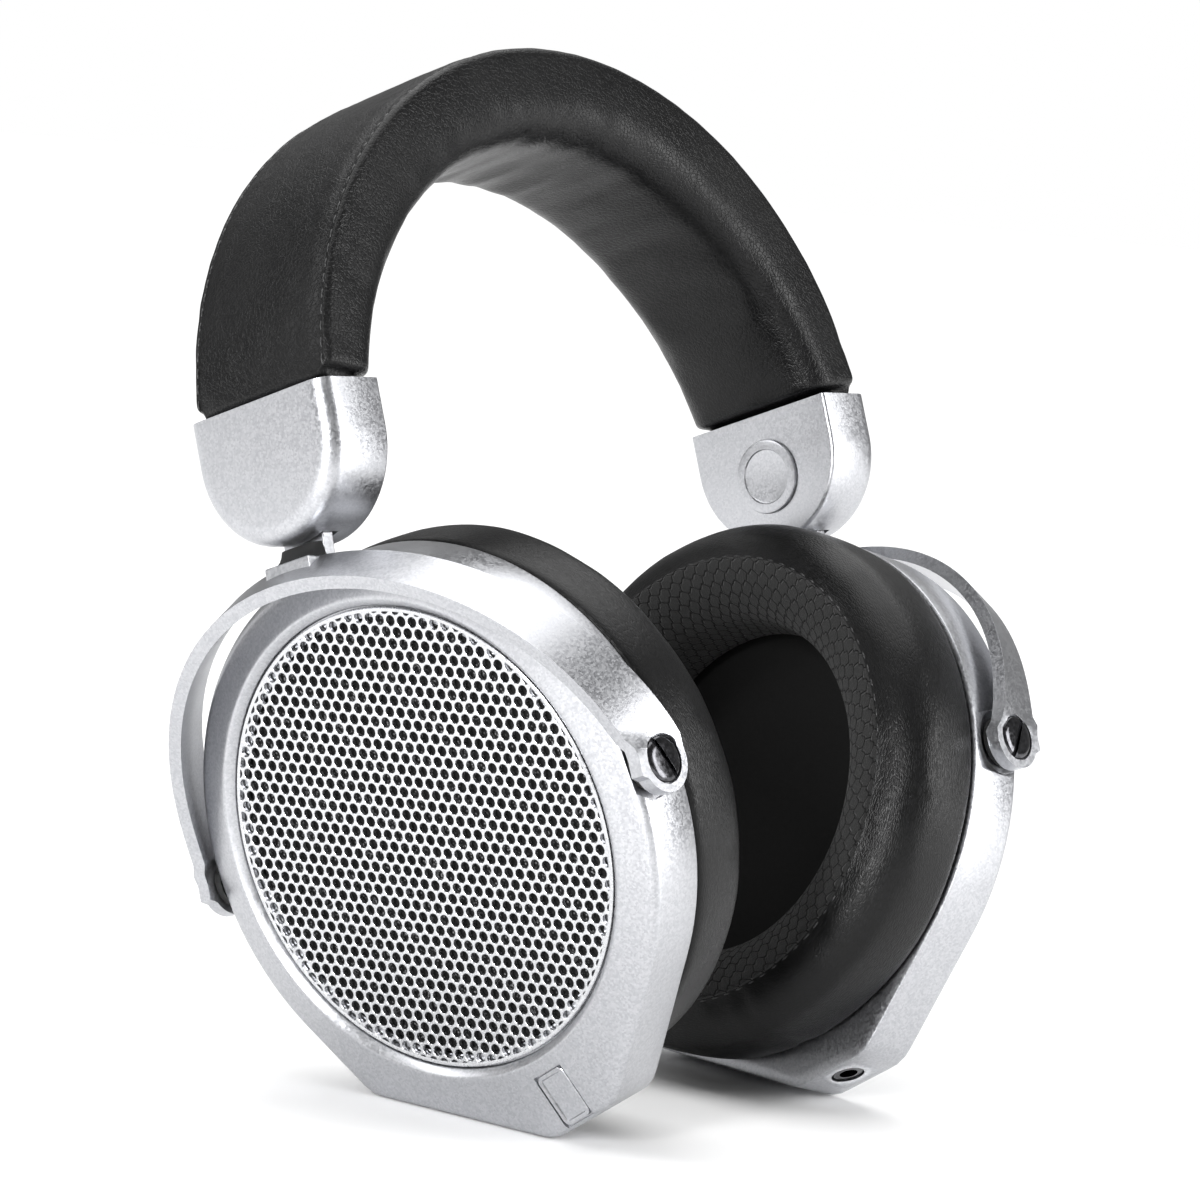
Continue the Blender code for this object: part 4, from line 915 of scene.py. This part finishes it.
def grille_cloth(name, side, materials):
    """Cloth under the grille, lifted in stripes by the magnet bars behind it."""
    bm = bmesh.new()
    loops = []
    for i in range(1, 42):
        radius = CLOTH_RADIUS * i / 41
        loop = []
        for k in range(120):
            a = 2 * math.pi * k / 120
            y, z = radius * math.cos(a), radius * math.sin(a)
            across = y * math.cos(math.radians(BAR_TURN)) + z * math.sin(math.radians(BAR_TURN))
            lift = BAR_LIFT * max(math.sin(2 * math.pi * across / BAR_PITCH), 0)
            loop.append((CLOTH_U + lift, y, z - PIVOT_HEIGHT))
        loops.append(loop)
    made = piece("grille_cloth_sheet_" + name, grid(bm, loops), cup_matrix(side), materials["cloth"],
                 "cup_" + name, ("grille_cloth_" + name,), angle=0, outward=False)
    bm = bmesh.new()
    bm.from_mesh(made.data)
    inner = [e for e in bm.edges if e.is_boundary and (e.verts[0].co - e.verts[1].co).length < 0.0001]
    if inner:
        bmesh.ops.holes_fill(bm, edges=inner, sides=200)
    bm.to_mesh(made.data)
    bm.free()


# ---------------------------------------------------------------- ear pad

def pad_section():
    """(radius, depth, is_knit) from the outer base over the face to the inner base."""
    base, top = PAD_PLANE - 0.3, PAD_PLANE - PAD_THICK + 0.6
    outer, inner = PAD_OUTER - 0.5, PAD_INNER + 0.5
    points = [(outer - 1.6, base), (outer - 0.5, base - 0.5)]
    shoulder = 7.6
    low = top + shoulder
    for i in range(5):
        points.append((outer + 0.25 * math.sin(math.pi * i / 4), base - 1.4 - (base - 1.4 - low) * i / 4))
    for degrees in (15, 30, 45, 60, 75, 90):
        a = math.radians(degrees)
        points.append((outer - shoulder * (1 - math.cos(a)), top + shoulder * (1 - math.sin(a))))
    seam = len(points)
    points.append((PAD_SEAM - 0.6, top - 0.05))
    points.append((PAD_SEAM - 2.0, top - 0.1))
    lip = 9.5
    for degrees in (90, 76, 62, 48, 34, 20, 8):
        a = math.radians(degrees)
        points.append((inner + lip * (1 - math.cos(a)), top + lip * (1 - math.sin(a))))
    for share in (0.35, 0.7, 1.0):
        points.append((inner, top + lip + (base - top - lip) * share))
    return points, seam - 1


def ear_pad(name, side, materials):
    """Sewn ring of leather and knit over foam, swelled between its seams."""
    section, seam = pad_section()
    around = PAD_COLUMNS
    reach = [0.0]
    for a, b in zip(section, section[1:]):
        reach.append(reach[-1] + math.dist(a, b))
    reach.append(reach[-1] + 5)
    loops = []
    for i in range(around):
        angle = 2 * math.pi * i / around
        loops.append([cup_point(u, r, angle) for r, u in section])

    def unroll(row, column):
        return (2 * math.pi * row / around * PAD_MEAN, reach[column])

    bm = grid(bmesh.new(), loops, closed=True, uv=unroll)
    made = piece("pad_" + name, bm, cup_matrix(side), materials["pad"], angle=0)
    made.data.materials.append(materials["knit"])
    count = len(section)
    held = {}
    for i in range(around):
        for c in range(count):
            if c <= 1 or c >= count - 2 or c == seam:
                held[i * count + c] = 1.0
    swell(made, held, 1.0, 0.012, 0.7)
    dress_pad(made, section, seam, around, side)
    smooth = made.modifiers.new("smooth", 'SUBSURF')
    smooth.levels = smooth.render_levels = 1
    settle(made)
    split_pad(made, name)
    pad_stitches(name, side, section[seam], materials)


def dress_pad(made, section, seam, around, side):
    """Seam groove, the cross seam near the bottom, and small gathers where leather meets knit."""
    mesh = made.data
    count = len(section)
    join = 4 if side > 0 else around - 4
    for i in range(around):
        angle = 2 * math.pi * i / around
        for c in range(count):
            vertex = mesh.vertices[i * count + c]
            normal = vertex.normal.copy()
            shift = 0.0
            away = abs(c - seam)
            if away == 0:
                shift -= 0.75
            elif away <= 4:
                shift += 0.3 * noise.noise(Vector((PAD_MEAN * angle * 0.2, c * 0.4, side))) / away
            if c < seam:
                shift += 0.22 * noise.noise(Vector((PAD_MEAN * angle * 0.07, c * 0.3, 5 + side)))
                if i == join:
                    shift -= 0.5
            vertex.co += normal * shift * MM
    for face in mesh.polygons:
        columns = [index % count for index in face.vertices]
        column = min(columns) if max(columns) - min(columns) <= 1 else count - 1
        face.material_index = 1 if column >= seam else 0


def split_pad(made, name):
    """Parts the leather and the knit into two pieces."""
    for part, index, label, slot in (("pad_leather_", 0, "pad_cover_", "black_leather"),
                                     ("pad_knit_", 1, "pad_face_", "black_fabric")):
        bm = bmesh.new()
        bm.from_mesh(made.data)
        drop = [f for f in bm.faces if f.material_index != index]
        bmesh.ops.delete(bm, geom=drop, context='FACES')
        mesh = bpy.data.meshes.new(part + name)
        bm.to_mesh(mesh)
        bm.free()
        mesh.materials.append(made.data.materials[index])
        for face in mesh.polygons:
            face.material_index = 0
        half = bpy.data.objects.new(part + name, mesh)
        bpy.context.collection.objects.link(half)
        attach(half, "cup_" + name)
        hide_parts(label + name, "pad_foam_" + name)
    bpy.data.objects.remove(made, do_unlink=True)


def pad_stitches(name, side, seam, materials):
    """Thread in the seam between leather and knit."""
    bm = bmesh.new()
    radius, depth = seam
    total = int(2 * math.pi * radius / STITCH_PITCH)
    dash = ((-1, 0.05, -0.3), (-0.7, 0.2, 0.0), (0, 0.25, 0.1), (0.7, 0.2, 0.0), (1, 0.05, -0.3))
    for i in range(total):
        loops = []
        for share, size, lift in dash:
            angle = 2 * math.pi * (i + 0.5 + share * 0.38) / total
            centre = Vector(cup_point(depth + 0.55 - lift, radius, angle))
            out = Vector(cup_point(0, 1, angle)) - Vector(cup_point(0, 0, angle))
            loops.append([centre + out * size * math.cos(a) + Vector((size * math.sin(a), 0, 0))
                          for a in [math.pi * k / 3 for k in range(6)]])
        grid(bm, loops, caps=True)
    made = piece("pad_stitches_" + name, bm, cup_matrix(side), materials["thread"], "cup_" + name, angle=0)


# ---------------------------------------------------------------- carried-over nodes

def finish_nodes(materials):
    """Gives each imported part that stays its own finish."""
    finishes = (("spring_strip", "steel"), ("crossover_lead", "rubber"), ("slider_guide", "nylon"),
                ("detent_leaf", "steel"), ("cap_screw", "steel"), ("stop_pin", "steel"),
                ("pivot_bush", "nylon"), ("outer_stator", "magnet"), ("inner_stator", "magnet"),
                ("diaphragm", "film"), ("baffle_screw", "steel"), ("baffle", "nylon"),
                ("inner_cloth", "lining"), ("pad_ring", "nylon"), ("jack_socket", "screw"))
    for node, shown in frame["nodes"].items():
        for start, finish in finishes:
            if node.startswith(start):
                if not shown.data.materials:
                    shown.data.materials.append(materials[finish])
                for slot in shown.material_slots:
                    slot.material = materials[finish]
                break


# ---------------------------------------------------------------- studio

LENS = 139.2
LOOK = (0.7556, 0.6476, -0.0983)
LOOK_RIGHT = (0.6549, -0.7499, 0.0938)
EYE = (-0.655, -0.5507, 0.1246)      # metres from the stance's origin
LIT_BY_WORLD = 0.27
SEEN_WORLD = 1.0


def make_camera():
    data = bpy.data.cameras.new("camera")
    camera = bpy.data.objects.new("camera", data)
    data.lens = LENS
    data.sensor_width = 36
    data.clip_end = 50
    forward = Vector(LOOK).normalized()
    right = Vector(LOOK_RIGHT)
    right = (right - forward * right.dot(forward)).normalized()
    up = right.cross(forward)
    turn = Matrix((right, up, -forward)).transposed().to_4x4()
    camera.matrix_world = Matrix.Translation(STANCE_PLACE + Vector(EYE)) @ turn
    bpy.context.collection.objects.link(camera)
    bpy.context.scene.camera = camera


def area_light(name, place, target, size, power, size_y):
    data = bpy.data.lights.new(name, 'AREA')
    data.shape = 'RECTANGLE'
    data.size = size
    data.size_y = size_y
    data.energy = power
    light = bpy.data.objects.new(name, data)
    light.location = place
    light.rotation_euler = (Vector(target) - Vector(place)).to_track_quat('-Z', 'Y').to_euler()
    bpy.context.collection.objects.link(light)


def make_studio():
    """White table top and white surroundings, a broad overhead light and three soft lights round it."""
    bm = bmesh.new()
    bmesh.ops.create_grid(bm, x_segments=1, y_segments=1, size=12)
    floor, tree, shader = new_material("white_table_top", "#f7f7f7", 0.6)
    grain = add(tree, "ShaderNodeTexNoise", {"Vector": place_in_mm(tree), "Scale": 0.02})
    tree.links.new(tint(tree, grain.outputs[0], "#f6f6f6", "#f9f9f9"), shader.inputs["Base Color"])
    piece("table_top", bm, Matrix(), floor)
    scene = bpy.context.scene
    scene.view_settings.view_transform = 'Standard'
    world = bpy.data.worlds.new("studio")
    scene.world = world
    world.use_nodes = True
    tree = world.node_tree
    seen = add(tree, "ShaderNodeLightPath").outputs["Is Camera Ray"]
    strength = spread(tree, seen, 0, 1, LIT_BY_WORLD, SEEN_WORLD)
    tree.links.new(strength, tree.nodes["Background"].inputs["Strength"])
    tree.nodes["Background"].inputs["Color"].default_value = (1, 1, 1, 1)
    sky = bpy.data.lights.new("overhead", 'SUN')
    sky.energy = 3.2
    sky.angle = math.radians(75)
    overhead = bpy.data.objects.new("overhead", sky)
    overhead.rotation_euler = (math.radians(-14), math.radians(10), 0)
    bpy.context.collection.objects.link(overhead)
    area_light("front_right", (0.7, -1.2, 0.45), (0, 0, 0.09), 0.5, 15, 0.9)
    area_light("front_left", (-1.35, -0.42, 0.42), (0, 0, 0.12), 0.16, 20, 0.7)
    area_light("behind_left", (-0.9, 0.75, 0.75), (0, 0, 0.12), 0.35, 5, 0.8)


def build():
    make_camera()
    make_studio()
    materials = make_materials()
    band_leather(materials)
    band_stitches(materials)
    for name, side in SIDES.items():
        end_cap(name, side, materials)
        side_mark(name, side, materials)
        yoke(name, side, materials)
        pivots(name, side, materials)
        cup_shell(name, side, materials)
        badge(name, side, materials)
        grille(name, side, materials)
        grille_cloth(name, side, materials)
        ear_pad(name, side, materials)
    finish_nodes(materials)


build()
